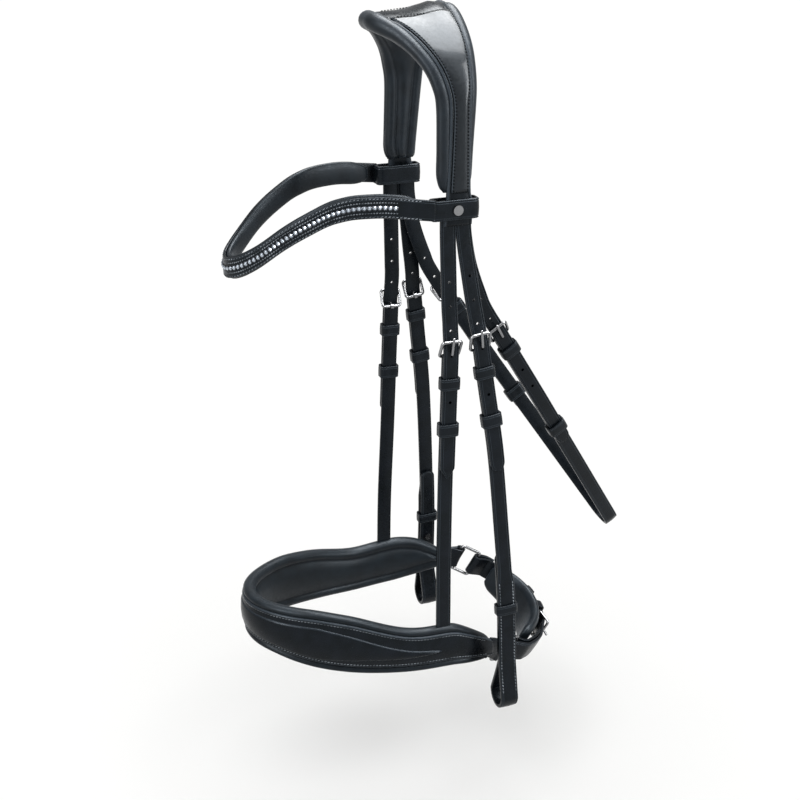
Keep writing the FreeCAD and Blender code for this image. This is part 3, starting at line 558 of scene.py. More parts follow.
# %% browband line
BROW_Y, BROW_DEPTH = -17.0, 151.0
BROW_HALF, BROW_FLARE, FLARE_FROM = 60.0, 7.4, 60
BROW_Z = np.array([(-168, -171.0), (-160, -166.0), (-149, -158.0), (-133, -144.5), (-121, -136.5),
                   (-98, -124.0), (-81, -119.5), (-56, -119.0), (-17, -124.5)])


def brow_line(reach=90.0, step=2.0):
    """Line at mid height on the outer face, for t from -reach to reach, with up and outward."""
    t = np.radians(np.linspace(-reach, reach, 181))
    half = BROW_HALF + BROW_FLARE * np.clip(np.degrees(np.abs(t)) - FLARE_FROM, 0, None) / 30
    y = BROW_Y - BROW_DEPTH * np.cos(t)
    line = np.stack([half * np.sin(t), y, np.interp(y, BROW_Z[:, 0], BROW_Z[:, 1])], -1)
    for _ in range(12):
        line[1:-1, 2] = (line[:-2, 2] + 2 * line[1:-1, 2] + line[2:, 2]) / 4
    line = spline(line, step)
    run = unit(np.gradient(line, axis=0) * (1, 1, 0))
    normal = np.stack([run[:, 1], -run[:, 0], 0 * run[:, 0]], -1)
    return line, np.tile([0.0, 0.0, 1.0], (len(line), 1)), normal


line, up, normal = brow_line()
piece = band("browband_strap", line, up, normal, 8.2, -2.4, 0.0, BRIDLE, "browband")
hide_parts("browband_leather")
print("browband", round(distance_along(line)[-1]), "mm round")

# %% browband lining
LINING_HALF, LINING_THICK, LINING_DEEP = 9.6, 2.8, -5.1
line, up, normal = brow_line(86)
ends = rounded(from_ends(len(line)), 9, 0.03)
turn = np.radians(np.arange(0, 360, 18))
section = np.stack([np.sign(np.cos(turn)) * np.abs(np.cos(turn)) ** 0.7 * LINING_HALF,
                    np.sin(turn) * LINING_THICK], -1)
columns = [line + up * (a * (0.3 + 0.7 * ends))[:, None] + normal * (LINING_DEEP + v * ends)[:, None]
           for a, v in section]
lining = loft("browband_lining", np.stack(columns, 1), LINING, "browband")
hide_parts("browband_pad")
print("lining in", len(line), "stations")

# %% [markdown]
# ### Loops at the browband's ends
# Each end is folded back and sewn into a flat loop that the crown passes through.  The ring of points
# is a rectangle with cut corners, closed as a spline, with the band carried round it.

# %% browband loops
LOOP_X, LOOP_Y, LOOP_Z = (55.2, 67.4), (-19.2, 19.4), -125.0
LOOP_WALL, LOOP_HALF = 1.1, 8.0
for side, sign in SIDES:
    (x0, x1), (y0, y1) = LOOP_X, LOOP_Y
    middle = (y0 + y1) / 2
    inner, outer = x0 + LOOP_WALL, x1 - LOOP_WALL
    ring = np.array([(outer, y0 + 2), (outer, middle), (outer, y1 - 3), (x1 - 3, y1 - LOOP_WALL),
                     (x0 + 3, y1 - LOOP_WALL), (inner, y1 - 3), (inner, middle), (inner, y0 + 3),
                     (x0 + 3, y0 + LOOP_WALL), (x1 - 3, y0 + LOOP_WALL)])
    ring = np.column_stack([ring[:, 0] * sign, ring[:, 1], np.full(len(ring), LOOP_Z)])
    ring = spline(ring, 2.0, closed=True)
    loop_up = np.tile([0.0, 0.0, 1.0], (len(ring), 1))
    band("browband_loop_" + side, ring, loop_up, facing_out(ring, loop_up), LOOP_HALF, -LOOP_WALL, LOOP_WALL,
         BRIDLE, "browband", closed=True)
print("two loops done")

# %% [markdown]
# ### Crystals and stitching
# A row of crystals is set in cups along the front, between two rows of stitching on each side.  A
# crystal is an eight-sided cone with its tip cut off, so that its facets catch separate lights, and
# the facets stay flat shaded.

# %% crystals in cups
CRYSTAL_PITCH = 4.0
line, up, normal = brow_line(78, CRYSTAL_PITCH)
run = unit(np.gradient(line, axis=0))
axes = np.stack([run, np.cross(normal, run), normal], 1)


def turned(levels, sides, start=0.0):
    """Points of a turned shape: a ring of the given number of sides at each (radius, height)."""
    turn = np.radians(np.arange(sides) * 360 / sides + start)
    return np.array([(r * math.cos(a), r * math.sin(a), h) for r, h in levels for a in turn])


stone = turned([(1.35, 0.0), (1.55, 0.55), (0.8, 1.3)], 8, 22.5)
stone_faces = [tuple(q) for q in grid_quads(3, 8).tolist()] + [tuple(range(16, 24)), tuple(range(7, -1, -1))]
piece = scatter("crystals", stone, stone_faces, line + normal * 0.35, axes, CRYSTAL, "browband")
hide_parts("crystal_row")
cup = turned([(2.05, -0.2), (2.05, 0.55), (1.7, 0.75), (1.55, 0.1)], 12)
cup_faces = [tuple(q) for q in grid_quads(4, 12).tolist()]
scatter("crystal_cups", cup, cup_faces, line + normal * 0.2, axes, CUP, "browband")
print(len(line), "crystals")

# %% browband stitching
# (height above the middle, reach in degrees, pitch, width) of each row
BROW_ROWS = ((-6.9, 86, 3.0, 0.75), (-4.0, 79, 2.2, 1.1), (4.0, 79, 2.2, 1.1), (6.9, 86, 3.0, 0.75))
for row, (offset, reach, pitch, width) in enumerate(BROW_ROWS):
    line, up, normal = brow_line(reach)
    stitch("browband_stitch_" + str(row), line + up * offset + normal * 0.15, normal, "browband",
           pitch=pitch, width=width)
print(len(BROW_ROWS), "rows of stitching")

# %% [markdown]
# ## Straps
# Three straps hang from each side of the crown: one for the noseband, one for the cheekpiece and one
# for the throatlatch.  Every strap follows a route given for the left side.  The billet, which is the
# punched upper strap, lies on the lower strap from the buckle to its own tip, so both share a route
# and differ only in how far they stand off it.

# %% routes
LEATHER = 2.8       # thickness of a strap
LIFT = 3.3          # how far a billet stands off its route where it lies on the lower strap
STRAP_HALF, LOOP_STRAP_HALF = 6.5, 8.0      # half widths of a strap and of the bit loop's end
ROUTES = {
    "noseband": [(61.6, -5.2, -126), (61.6, -5.2, -146), (63, -3.8, -200), (64.2, -3.2, -226),
                 (65.7, -5, -292), (67.2, -6.8, -358), (70.6, -8.6, -430), (72.3, -9, -478),
                 (72.3, -9, -512)],
    "cheek": [(61.6, 7.8, -126), (61.6, 8.2, -146), (65.8, 13.7, -190), (68.6, 18.2, -220),
              (73.5, 25.3, -275), (78.5, 32.5, -330), (84, 38, -400), (90, 42, -467), (95.3, 43, -533)],
    "throat": [(58.5, 8.5, -128), (58.5, 9.5, -146), (58.3, 14.5, -172), (58, 24, -199), (57.5, 32, -216),
               (51.3, 61, -261), (45, 90, -306), (28, 138, -379), (11, 186, -452)]}
# heights of the buckle's heel, the billet's tip, and the fixed and the loose keeper
HEEL = {"noseband": -245.0, "cheek": -240.0, "throat": -238.0}
TIP = {"noseband": -352.0, "cheek": -346.0, "throat": -351.0}
KEEPERS = {"noseband": (-267.5, -308.0), "cheek": (-259.5, -301.0), "throat": (-250.5, -334.0)}


def route(name, sign, top, bottom, step=2.5):
    """Smooth line of a strap between two heights: points, distance along, across and outward."""
    curve = spline(ROUTES[name], 1.0)
    curve = curve[(curve[:, 2] <= top) & (curve[:, 2] >= bottom)] * (sign, 1, 1)
    reach = distance_along(curve)
    even = np.linspace(0, reach[-1], max(4, int(reach[-1] / step)))
    curve = evenly(curve, even, reach)
    run = unit(np.gradient(curve, axis=0))
    across = unit(np.cross(run, (sign, 0, 0)))
    return curve, even, across, np.cross(across, run)


def body_of(name, side):
    """Moving body that a strap belongs to."""
    return {"noseband": "noseband", "cheek": "cheekpiece_" + side, "throat": "throatlatch"}[name]


for name in ROUTES:
    print(name, "strap", round(route(name, 1, -126, -600)[1][-1]), "mm from crown to foot")

# %% [markdown]
# ### Billets
# A billet is punched with holes 20 mm apart, tapers or rounds at its tip, and bends where it leaves
# the crown.  The holes are real: a Boolean cuts them, and its result is applied at once.

# %% punched billets
HOLE_PITCH, HOLE_RADIUS, TONGUE_BACK = 20.0, 1.3, 1.7
HOLES = {"noseband": range(-3, 3), "cheek": range(-3, 3), "throat": range(-2, 4)}
CUT_HALF = 7        # half length of the punch


def punch(piece, centres, directions, radius=1.6):
    """Cut round holes through a piece, one at each centre along its direction."""
    tube = turned([(radius, -CUT_HALF), (radius, CUT_HALF)], 16)
    faces = [tuple(q) for q in grid_quads(2, 16).tolist()] + [tuple(range(15, -1, -1)), tuple(range(16, 32))]
    side = unit(np.cross(directions, (0, 0, 1)))
    axes = np.stack([side, np.cross(directions, side), directions], 1)
    cutter = scatter("cutter", tube, faces, centres, axes, piece.data.materials[0], None)
    cut = piece.modifiers.new("holes", "BOOLEAN")
    cut.object = cutter
    cut.operation = "DIFFERENCE"
    cut.solver = "EXACT"
    depsgraph = bpy.context.evaluated_depsgraph_get()
    mesh = bpy.data.meshes.new_from_object(piece.evaluated_get(depsgraph))
    piece.modifiers.clear()
    piece.data = mesh
    bpy.data.objects.remove(cutter)
    mesh.set_sharp_from_angle(angle=math.radians(50))


def billet(name, side, sign):
    """Punched strap from the crown to its tip; it rises onto the lower strap above the buckle."""
    curve, reach, across, normal = route(name, sign, -126, TIP[name], 2.0)
    heel = np.interp(-HEEL[name], -curve[:, 2], reach)
    lift = np.interp(reach - heel, (-34, -22, -13, -5), (0, 0.7, 2.2, LIFT))
    to_tip = reach[-1] - reach
    if name == "noseband":
        half = STRAP_HALF * np.clip((to_tip + 1.5) / 10, 0.1, 1)
    else:
        half = STRAP_HALF * rounded(to_tip, 9, 0.01, 2.4)
    piece = band(name + "_billet_" + side + "_leather", curve, across, normal, half, lift, lift + LEATHER,
                 BRIDLE, None)
    at = heel - TONGUE_BACK + HOLE_PITCH * np.array(HOLES[name])
    ups = unit(evenly(normal, at, reach))
    punch(piece, evenly(curve, at, reach) + ups * 3, ups, HOLE_RADIUS)
    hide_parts(name + "_billet_" + side)
    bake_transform(piece)


print("a billet has", len(HOLES["cheek"]), "holes,", HOLE_PITCH, "mm apart")

# %% [markdown]
# ### Keepers
# A keeper is a narrow band wrapped round the straps.  The fixed one, next to the buckle, rides on the
# strap's body.  The loose one slides, so it rides on a body of its own.

# %% keepers
KEEPER_CORNER = 1.6


def keeper_outline(wide, low, high, waist, arch):
    """Section round the straps as (across, outward): a rectangle with cut corners, side points at
    the height of the waist, and its outer face arched at the middle."""
    r = KEEPER_CORNER
    return [(wide, low + r), (wide, waist), (wide, high - r), (wide - r, high), (0, high + arch),
            (r - wide, high), (-wide, high - r), (-wide, waist), (-wide, low + r), (r - wide, low),
            (0, low), (wide - r, low)]


def collar(node, label, sign, z, low, high, half, height, wall, body):
    """Keeper for one node: its outline set across the strap's route at height z."""
    curve, _reach, across, normal = route(label, sign, z + 12, z - 12, 1.0)
    i = np.argmin(np.abs(curve[:, 2] - z))
    p, a, n = curve[i], across[i], normal[i]
    low, high = low - wall / 2, high + wall / 2
    outline = keeper_outline(half + wall / 2, low, high, (low + high) / 2, 0.4)
    ring = spline([p + a * u + n * v for u, v in outline], 0.9, closed=True)
    up = np.tile(np.cross(n, a), (len(ring), 1))
    piece = band(node + "_loop", ring, up, facing_out(ring, up), height / 2, -wall / 2, wall / 2, STRAP,
                 body, closed=True, profile=strap_profile(0.5, 1.6, 0.18, 0.1))
    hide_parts(node)


def upper_strap(name, side, sign):
    """Billet with its fixed and its loose keeper; the loose one clears the straps by 0.15 mm more."""
    billet(name, side, sign)
    keeper, runner = KEEPERS[name]
    top = LIFT + LEATHER
    collar(name + "_keeper_" + side, name, sign, keeper, -0.15, top + 0.15, 6.65, 10, 1.8,
           body_of(name, side))
    collar(name + "_runner_" + side, name, sign, runner, -0.3, top + 0.3, 6.8, 11, 1.8,
           name + "_runner_" + side)


print("a keeper goes round a stack", LIFT + LEATHER, "mm thick")

# %% [markdown]
# ### Noseband slings and cheekpieces
# The noseband's strap runs straight down into the band.  A cheekpiece ends in a loop for the bit: its
# strap widens, turns inward round half a circle and comes back up as a second ply as far as the hook
# stud.  One path with one band round it makes both plies and the turn without a seam.

# %% lower straps
BIGHT = (92.5, 43.0, -562.0)    # centre of the bit loop
BIGHT_RADIUS = 10.6
RETURN_TOP = -424               # where the inner ply ends, at the hook stud


def lower_strap(name, sign, bottom, half_low=STRAP_HALF):
    """Strap from the buckle's heel down, with its half width, which grows below z -440 if asked."""
    curve, _reach, across, normal = route(name, sign, HEEL[name] + 2.0, bottom)
    half = np.interp(curve[:, 2][::-1], (bottom, -450, -440, 0),
                     (half_low, half_low, STRAP_HALF, STRAP_HALF))
    return curve, across, normal, half[::-1]


def edge_rows(tag, curve, across, normal, half, height, body):
    """Stitching along both edges of a doubled strap, 1.9 mm in."""
    for k, sign in enumerate((-1, 1)):
        row = curve + across * (sign * (np.broadcast_to(half, len(curve)) - 1.9))[:, None] + normal * height
        stitch(tag + "_" + str(k), row, normal, body, width=0.9)


def sling(side, sign):
    """Strap that carries the noseband."""
    curve, across, normal, half = lower_strap("noseband", sign, -511)
    piece = band("noseband_sling_" + side + "_leather", curve, across, normal, half, 0, LEATHER, BRIDLE,
                 "noseband")
    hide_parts("noseband_sling_" + side)


print("the bit loop is", 2 * BIGHT_RADIUS, "mm across")

# %% cheekpieces
def cheekpiece(side, sign):
    """Strap, turn and return in one band; width follows the height of each ply."""
    body = "cheekpiece_" + side
    curve, across, normal, half = lower_strap("cheek", sign, -533, LOOP_STRAP_HALF)
    turn = np.radians(np.linspace(8, -188, 24))
    bight = np.stack([np.cos(turn) * sign, 0 * turn, np.sin(turn)], -1) * BIGHT_RADIUS
    bight = np.array(BIGHT) * (sign, 1, 1) + bight
    back, _reach, _across, back_normal = route("cheek", sign, RETURN_TOP, -535)
    back = (back - back_normal * 1.7)[::-1]
    path = spline(np.vstack([curve[::4] + normal[::4] * 1.6, bight, back[2::4], back[-1:]]), 2.0)
    run = unit(np.gradient(path, axis=0))
    wide = np.tile(across[-1], (len(path), 1))
    wide = unit(wide - run * np.sum(wide * run, -1, keepdims=True))
    out = np.cross(wide, run)
    lowest = int(np.argmin(path[:, 2]))
    outer_ply = np.arange(len(path)) <= lowest
    width = np.where(outer_ply, np.interp(-path[:, 2], (440, 452), (STRAP_HALF, LOOP_STRAP_HALF)),
                     np.interp(-path[:, 2], (430, 560), (6.8, LOOP_STRAP_HALF)))
    width = width * rounded(np.arange(len(path))[::-1] * 2.0, 7, 0.02)
    piece = band("cheek_strap_" + side + "_leather", path, wide, out, width, -1.5, 1.6, BRIDLE, body)
    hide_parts("cheek_strap_" + side)
    doubled = curve[:, 2] < -449
    edge_rows("cheek_stitch_" + side, curve[doubled], across[doubled], normal[doubled], half[doubled],
              3.3, body)
    lower = (np.arange(len(path)) < lowest) & (path[:, 2] < -534) & (path[:, 2] > -558)
    edge_rows("cheek_turn_stitch_" + side, path[lower], wide[lower], out[lower], LOOP_STRAP_HALF, 1.75, body)
    collar("cheek_return_keeper_" + side, "cheek", sign, -476, -3.4, 3.5, 8.2, 9, 1.4, body)


print("cheekpiece ready")

# %% both sides
for side, sign in SIDES:
    for name in ROUTES:
        upper_strap(name, side, sign)
    sling(side, sign)
    cheekpiece(side, sign)
print("six billets with their keepers, two slings and two cheekpieces")

# %% [markdown]
# ### Throatlatch
# One strap runs from buckle to buckle under the throat and hangs loose, so at the bottom it turns
# round an arc that both straight runs meet.  The arc lies in the plane that the runs slope in.

# %% throatlatch
ARC_POINTS = 24
curve, _reach, across, normal = route("throat", 1, HEEL["throat"] + 2.0, -452)
run = unit(curve[-1] - curve[-2])
slant = math.asin(-run[0])
down = unit(np.array([0, run[1], run[2]]))
radius = curve[-1][0] / math.cos(slant)
centre = np.array([0, *curve[-1][1:]]) - down * radius * math.sin(slant)
turn = np.linspace(slant, math.pi - slant, ARC_POINTS)[1:-1]
bottom = centre + radius * (np.cos(turn)[:, None] * np.array([1.0, 0, 0]) + np.sin(turn)[:, None] * down)
path = np.vstack([curve, bottom, curve[::-1] * (-1, 1, 1)])
run = unit(np.gradient(path, axis=0))
plane = unit(np.cross(down, (1.0, 0, 0)))
wide = np.vstack([across, np.tile(plane, (len(bottom), 1)) * np.sign(across[-1] @ plane),
                  across[::-1] * (-1, 1, 1) * -1])
wide = wide * np.sign(np.sum(wide * wide[0], -1, keepdims=True))
wide = unit(wide - run * np.sum(wide * run, -1, keepdims=True))
out = np.cross(wide, run)
out = out * np.sign(out[0, 0])
piece = band("throat_strap_leather", path, wide, out, STRAP_HALF, 0, LEATHER, BRIDLE, "throatlatch")
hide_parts("throat_strap")
print("throatlatch", round(distance_along(path)[-1]), "mm between its buckles")

# %% [markdown]
# ## Noseband
# The noseband goes round the nose and is wide and shaped, to spread its pressure.  In plan two half
# ellipses meet at the cheeks: x = H sin t, y = -D cos t, with a shorter D behind.  Its top and bottom
# edges are heights along t.  They differ a little from side to side, because the closure hangs left.

# %% noseband line
NOSE_H, NOSE_FRONT, NOSE_REAR = 79.0, 166.0, 97.0
NOSE_STEP = 2.5
SLIM_OVER, PAD_MIDDLE = 50, -5.0    # where the padding grows slimmer towards its ends, and its mid depth
# (angle, top, bottom) for the left side (1) and the right side (-1)
NOSE_EDGES = {1: [(0, -464, -507), (25, -465, -513), (45, -467, -523), (58, -473, -528),
                  (66, -481, -530), (74, -489, -532), (80, -492, -533), (90, -491, -533),
                  (103, -502, -538), (115, -514, -543)],
              -1: [(0, -464, -507), (25, -465, -512), (45, -467, -521), (60, -474, -526), (75, -486, -530),
                   (90, -483, -529), (105, -486, -526), (121, -496, -522)]}


def nose_line(reach=1.0):
    """Points on the outer face at mid height, half height, up and outward directions."""
    rows = []
    for sign in (-1, 1):
        edges = np.array(NOSE_EDGES[sign], float)
        t = np.linspace(0, 90 + (edges[-1, 0] - 90) * reach, 90)
        top, bottom = np.interp(t, edges[:, 0], edges[:, 1]), np.interp(t, edges[:, 0], edges[:, 2])
        depth = np.where(t <= 90, NOSE_FRONT, NOSE_REAR)
        part = np.stack([sign * NOSE_H * np.sin(np.radians(t)), -depth * np.cos(np.radians(t)),
                         (top + bottom) / 2, (top - bottom) / 2], -1)
        rows.append(part[::-1] if sign < 0 else part[1:])
    rows = np.vstack(rows)
    for _ in range(14):
        rows[1:-1, 2:] = (rows[:-2, 2:] + 2 * rows[1:-1, 2:] + rows[2:, 2:]) / 4
    rows = spline(rows, NOSE_STEP)
    line, half = rows[:, :3], rows[:, 3]
    run = unit(np.gradient(line, axis=0) * (1, 1, 0))
    normal = np.stack([run[:, 1], -run[:, 0], 0 * run[:, 0]], -1)
    normal = normal * np.sign(np.sum(normal * line * (1, 1, 0), -1).sum())
    return line, half, np.tile([0.0, 0.0, 1.0], (len(line), 1)), normal


def nose_loft(name, profile, material, reach=1.0, ends=0.0, margin=(0.0, 0.0)):
    """Loft round the nose.  Profile rows are (edge: 1 top, -1 bottom, 0 middle; inset from that
    edge; height from the outer face).  Padding has rounded, slimmer ends."""
    line, half, up, normal = nose_line(reach)
    n = len(line)
    from_end = from_ends(n) * NOSE_STEP
    swell = rounded(from_end, ends, 0.03) if ends else np.ones(n)
    slim = np.clip(1 - from_end / SLIM_OVER, 0, 1) ** 2 if ends else np.zeros(n)
    middle = PAD_MIDDLE if ends else 0.0
    columns = []
    for edge, inset, height in profile:
        a = edge * (half - margin[edge < 0] - 4 * slim - inset) if edge else np.full(n, float(inset))
        v = middle + (height - middle) * swell * (1 - 0.35 * slim)
        columns.append(line + up * (a * (0.7 + 0.3 * swell))[:, None] + normal * v[:, None])
    # painted highlight, a paler grey, along the leather's rounded edges
    painted_highlight = [0.8 if not ends and edge and 0.2 < inset < 1.2 else 0.0 for edge, inset, _height in profile]
    return loft(name, np.stack(columns, 1), material, "noseband", painted_highlight=painted_highlight)


print("the noseband runs over", len(nose_line()[0]), "stations")

# %% [markdown]
# ### Padding, leather and raised panel
# The padding stands out past the leather above and below as two rolls.  The leather has a raised
# panel in front that thins to a point at each cheek.

# %% noseband padding and leather
NOSE_PAD_PROFILE = [(1, 0, -5.5), (1, 0.7, -2.6), (1, 2.4, -0.7), (1, 4.4, -0.6), (1, 6.2, -2.0),
                    (1, 7.5, -3.6), (0, 0, -3.6), (-1, 7.5, -3.6), (-1, 6.2, -2.0), (-1, 4.4, -0.6),
                    (-1, 2.4, -0.7), (-1, 0.7, -2.6), (-1, 0, -5.5), (-1, 0.8, -8.6), (-1, 2.8, -10.8),
                    (-1, 5.5, -11.4), (-1, 8.0, -10.4), (-1, 9.4, -9.2), (-1, 11, -10.8),
                    (0, -2.5, -12.2), (0, 2.5, -12.2), (1, 11, -10.8), (1, 9.4, -9.2), (1, 8.0, -10.4),
                    (1, 5.5, -11.4), (1, 2.8, -10.8), (1, 0.8, -8.6)]
piece = nose_loft("noseband_padding", NOSE_PAD_PROFILE, LINING, reach=0.97, ends=9.0)
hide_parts("noseband_pad")
NOSE_LEATHER_PROFILE = [(1, 0, -2.2), (1, 0.3, -0.7), (1, 1.1, 0.3), (1, 2.2, 0.5), (1, 2.8, 0.1),
                        (1, 3.4, 0.4), (0, 0, 0.5), (-1, 3.4, 0.4), (-1, 2.8, 0.1), (-1, 2.2, 0.5),
                        (-1, 1.1, 0.3), (-1, 0.3, -0.7), (-1, 0, -2.2), (-1, 0.8, -3.0), (0, 0, -3.0),
                        (1, 0.8, -3.0)]
piece = nose_loft("noseband_shell", NOSE_LEATHER_PROFILE, BRIDLE, margin=(5.5, 7.5))
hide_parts("noseband_leather")
print("noseband padding and leather done")

# %% raised panel and stitching
PANEL_END = 86      # degrees from the middle of the nose
PANEL_RISE = ((1, 0, -0.6), (1, 0.35, 0.7), (1, 1.1, 1.35), (1, 2.0, 1.75), (0, 0, 2.3), (-1, 2.0, 1.75),
              (-1, 1.1, 1.35), (-1, 0.35, 0.7), (-1, 0, -0.6), (0, 0, -1.0))
line, half, up, normal = nose_line()
around = np.degrees(np.arctan2(np.abs(line[:, 0]) / NOSE_H, -line[:, 1] / NOSE_FRONT))
leaf = (half - 12) * np.clip((87 - around) / 42, 0.02, 1) ** 0.6
sink = np.interp(around, (0, 30, PANEL_END), (0, 0.5, 1.5))
columns = []
for edge, inset, height in PANEL_RISE:
    a = edge * np.clip(leaf - inset, 0, None) - sink
    columns.append(line + up * a[:, None] + normal * height)
# the panel's rounded edges take the painted highlight, a paler grey
loft("noseband_panel", np.stack(columns, 1)[around < PANEL_END], BRIDLE, "noseband",
     painted_highlight=(0, 0.8, 0.3, 0, 0, 0, 0.3, 0.8, 0, 0))
for k, (edge, inset) in enumerate(((1, 8.3), (-1, 10.3))):
    row = line + up * (edge * (half - inset))[:, None] + normal * 0.25
    stitch("noseband_stitch_" + str(k), row[4:-4], normal[4:-4], "noseband", pitch=2.8, width=0.9)
print("panel over", int((around < PANEL_END).sum()), "stations")

# %% [markdown]
# ### The chin's own plane
# Everything behind the cheeks hangs on two rings and slopes down to the left, so it is drawn in its
# own plane: x across, b to the rear, c up.  The plane turns by a slope, a roll and a yaw.

# %% chin plane
SLOPE, ROLL, YAW = (math.radians(a) for a in (25.0, 12.0, 6.0))
ORIGIN = np.array([0.0, 44.0, -518.0])
ACROSS = np.array([math.cos(ROLL) * math.cos(YAW), -math.cos(ROLL) * math.sin(YAW), -math.sin(ROLL)])
BACK = np.array([math.cos(SLOPE) * math.sin(YAW), math.cos(SLOPE) * math.cos(YAW), -math.sin(SLOPE)])
BACK = unit(BACK - ACROSS * (BACK @ ACROSS))
UP = np.cross(ACROSS, BACK)


def chin_directions(v):
    """Directions of the chin plane in the bridle's frame."""
    return v[:, :1] * ACROSS + v[:, 1:2] * BACK + v[:, 2:3] * UP


def chin(points):
    """Points of the chin plane in the bridle's frame."""
    return ORIGIN + chin_directions(np.atleast_2d(points))


print("the chin plane faces", UP.round(2))

# %% [markdown]
# ### Tabs
# Each end of the noseband narrows to a tab that folds round the front bar of its ring.

# %% noseband tabs
RING_BAR, BAR_BACK = 64.0, 13.0     # the front bar of a ring: across and to the rear
TAB_FOLD = 3.0
for side, sign in SIDES:
    index, inward = (-1, -3) if sign > 0 else (0, 2)
    start = line[index] - normal[index] * 1.5
    direction = unit(line[index] - line[inward])
    bar = chin([(sign * RING_BAR, BAR_BACK, 0)])[0]
    to_bar = unit(bar - line[index])
    outward = unit(np.cross(UP, to_bar)) * sign
    outward = outward * np.sign(outward @ np.array([sign, 0, 0]))
    turn = np.radians(np.linspace(90, -90, 9))
    fold = bar + np.cos(turn)[:, None] * to_bar * TAB_FOLD + np.sin(turn)[:, None] * outward * TAB_FOLD
    back = line[index] + (bar - line[index]) * 0.4 - outward * 2.2
    path = spline(np.vstack([start - direction * 6, start, fold, back]), 1.2)
    run = unit(np.gradient(path, axis=0))
    blend = np.clip(np.arange(len(path)) / 8, 0, 1)[:, None]
    ups = unit((1 - blend) * np.array([0, 0, 1.0]) + blend * UP)
    ups = unit(ups - run * np.sum(ups * run, -1, keepdims=True))
    band("noseband_tab_" + side, path, ups, np.cross(ups, run) * sign, 10.0, -1.2, 1.2, BRIDLE, "noseband")
print("two tabs folded round the rings")

# %% [markdown]
# ## Chin closure
# The padded strap runs from the right ring round the chin.  The billet leaves the left ring, passes
# through the buckle and lies over it.  In the chin plane the curve is half an ellipse:
# x = A cos t, b = C + B sin t, and a layer of leather is an offset along its normal.

# %% chin curve
CHIN_A, CHIN_B, CHIN_C = 59.0, 56.0, 20.0
HALF_TALL = 10.0
CHIN_STEP, CHIN_PLY = 1.5, 1.3          # spacing of points, and half the leather's thickness
INNER_LAYER, OUTER_LAYER = 1.4, 4.7     # offsets of the base strap and of the billet over it
BAR_LEAN, BAR_REACH = math.radians(20), 19


def chin_arc(start, end, offset, count=24):
    """Points on the half ellipse between two angles, moved out along its normal."""
    t = np.radians(np.linspace(start, end, count))
    point = np.stack([CHIN_A * np.cos(t), CHIN_C + CHIN_B * np.sin(t), 0 * t], -1)
    normal = unit(np.stack([np.cos(t) / CHIN_A, np.sin(t) / CHIN_B, 0 * t], -1))
    return point + normal * np.broadcast_to(offset, (count,))[:, None]


def chin_band(name, path, material, half_of):
    """Strap along a path in the chin plane; half_of gives its half width from the number of points."""
    path = spline(path, CHIN_STEP)
    out = np.cross((0, 0, 1.0), unit(np.gradient(path, axis=0)))
    out = out * np.sign(np.sum(out * (path - (0, CHIN_C, 0)), -1).sum())
    return band(name, chin(path), np.tile(UP, (len(path), 1)), chin_directions(out), half_of(len(path)),
                -CHIN_PLY, CHIN_PLY, material, "chin_closure")


def fold_round(bar, away, radius):
    """Path that comes up to a bar, turns round it and leaves again, from the end farther from the
    plane's middle."""
    side = np.array([away[1], -away[0], 0.0])
    turn = np.radians(np.linspace(-100, 100, 9))
    path = bar - np.cos(turn)[:, None] * away * radius + np.sin(turn)[:, None] * side * radius
    return path if path[0] @ path[0] > path[-1] @ path[-1] else path[::-1]


rear_bars = {s: np.array([s * (RING_BAR - BAR_REACH * math.sin(BAR_LEAN)),
                          BAR_BACK + BAR_REACH * math.cos(BAR_LEAN), 0]) for s in (1, -1)}
print("rear bars at", [b.round(1).tolist() for b in rear_bars.values()])

# %% chin straps
# base strap: folded round the right ring's rear bar, then round to the heel of the buckle
away = unit(chin_arc(160, 150, INNER_LAYER, 2)[0] - rear_bars[-1])
base = np.vstack([chin_arc(152, 160, 6.0, 2), fold_round(rear_bars[-1], away, 3.2),
                  chin_arc(158, 81, INNER_LAYER, 30)])
piece = chin_band("chin_base_leather", base, BRIDLE, lambda n: np.full(n, HALF_TALL))
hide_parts("chin_strap")
# billet: folded round the left ring's rear bar, through the buckle and over the base strap
away = unit(chin_arc(22, 32, INNER_LAYER, 2)[0] - rear_bars[1])
outer = np.vstack([chin_arc(22, 50, np.linspace(5.8, 4.4, 5), 5),
                   chin_arc(66.5, 71, np.array([3.6, 4.4]), 2),
                   chin_arc(75, 128, OUTER_LAYER, 12)])
path = np.vstack([chin_arc(52, 24, INNER_LAYER, 5), fold_round(rear_bars[1], away, 3.4)[::-1], outer])
piece = chin_band("chin_billet_leather", path, BRIDLE,
                  lambda n: HALF_TALL * rounded(np.arange(n)[::-1] * CHIN_STEP, 9, 0.01, 2.4))
holes = chin_arc(99, 118, OUTER_LAYER, 2)
punch(piece, chin(holes), chin_directions(unit(holes * (1, 1, 0) - (0, CHIN_C, 0))))
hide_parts("chin_billet")
print("base strap and billet done")

# %% [markdown]
# ### Chin cushion
# The cushion lies between the strap and the chin.  Its section is a soft rectangle, from powers of
# sine and cosine, with a low ridge along each edge where the filling is sewn in.

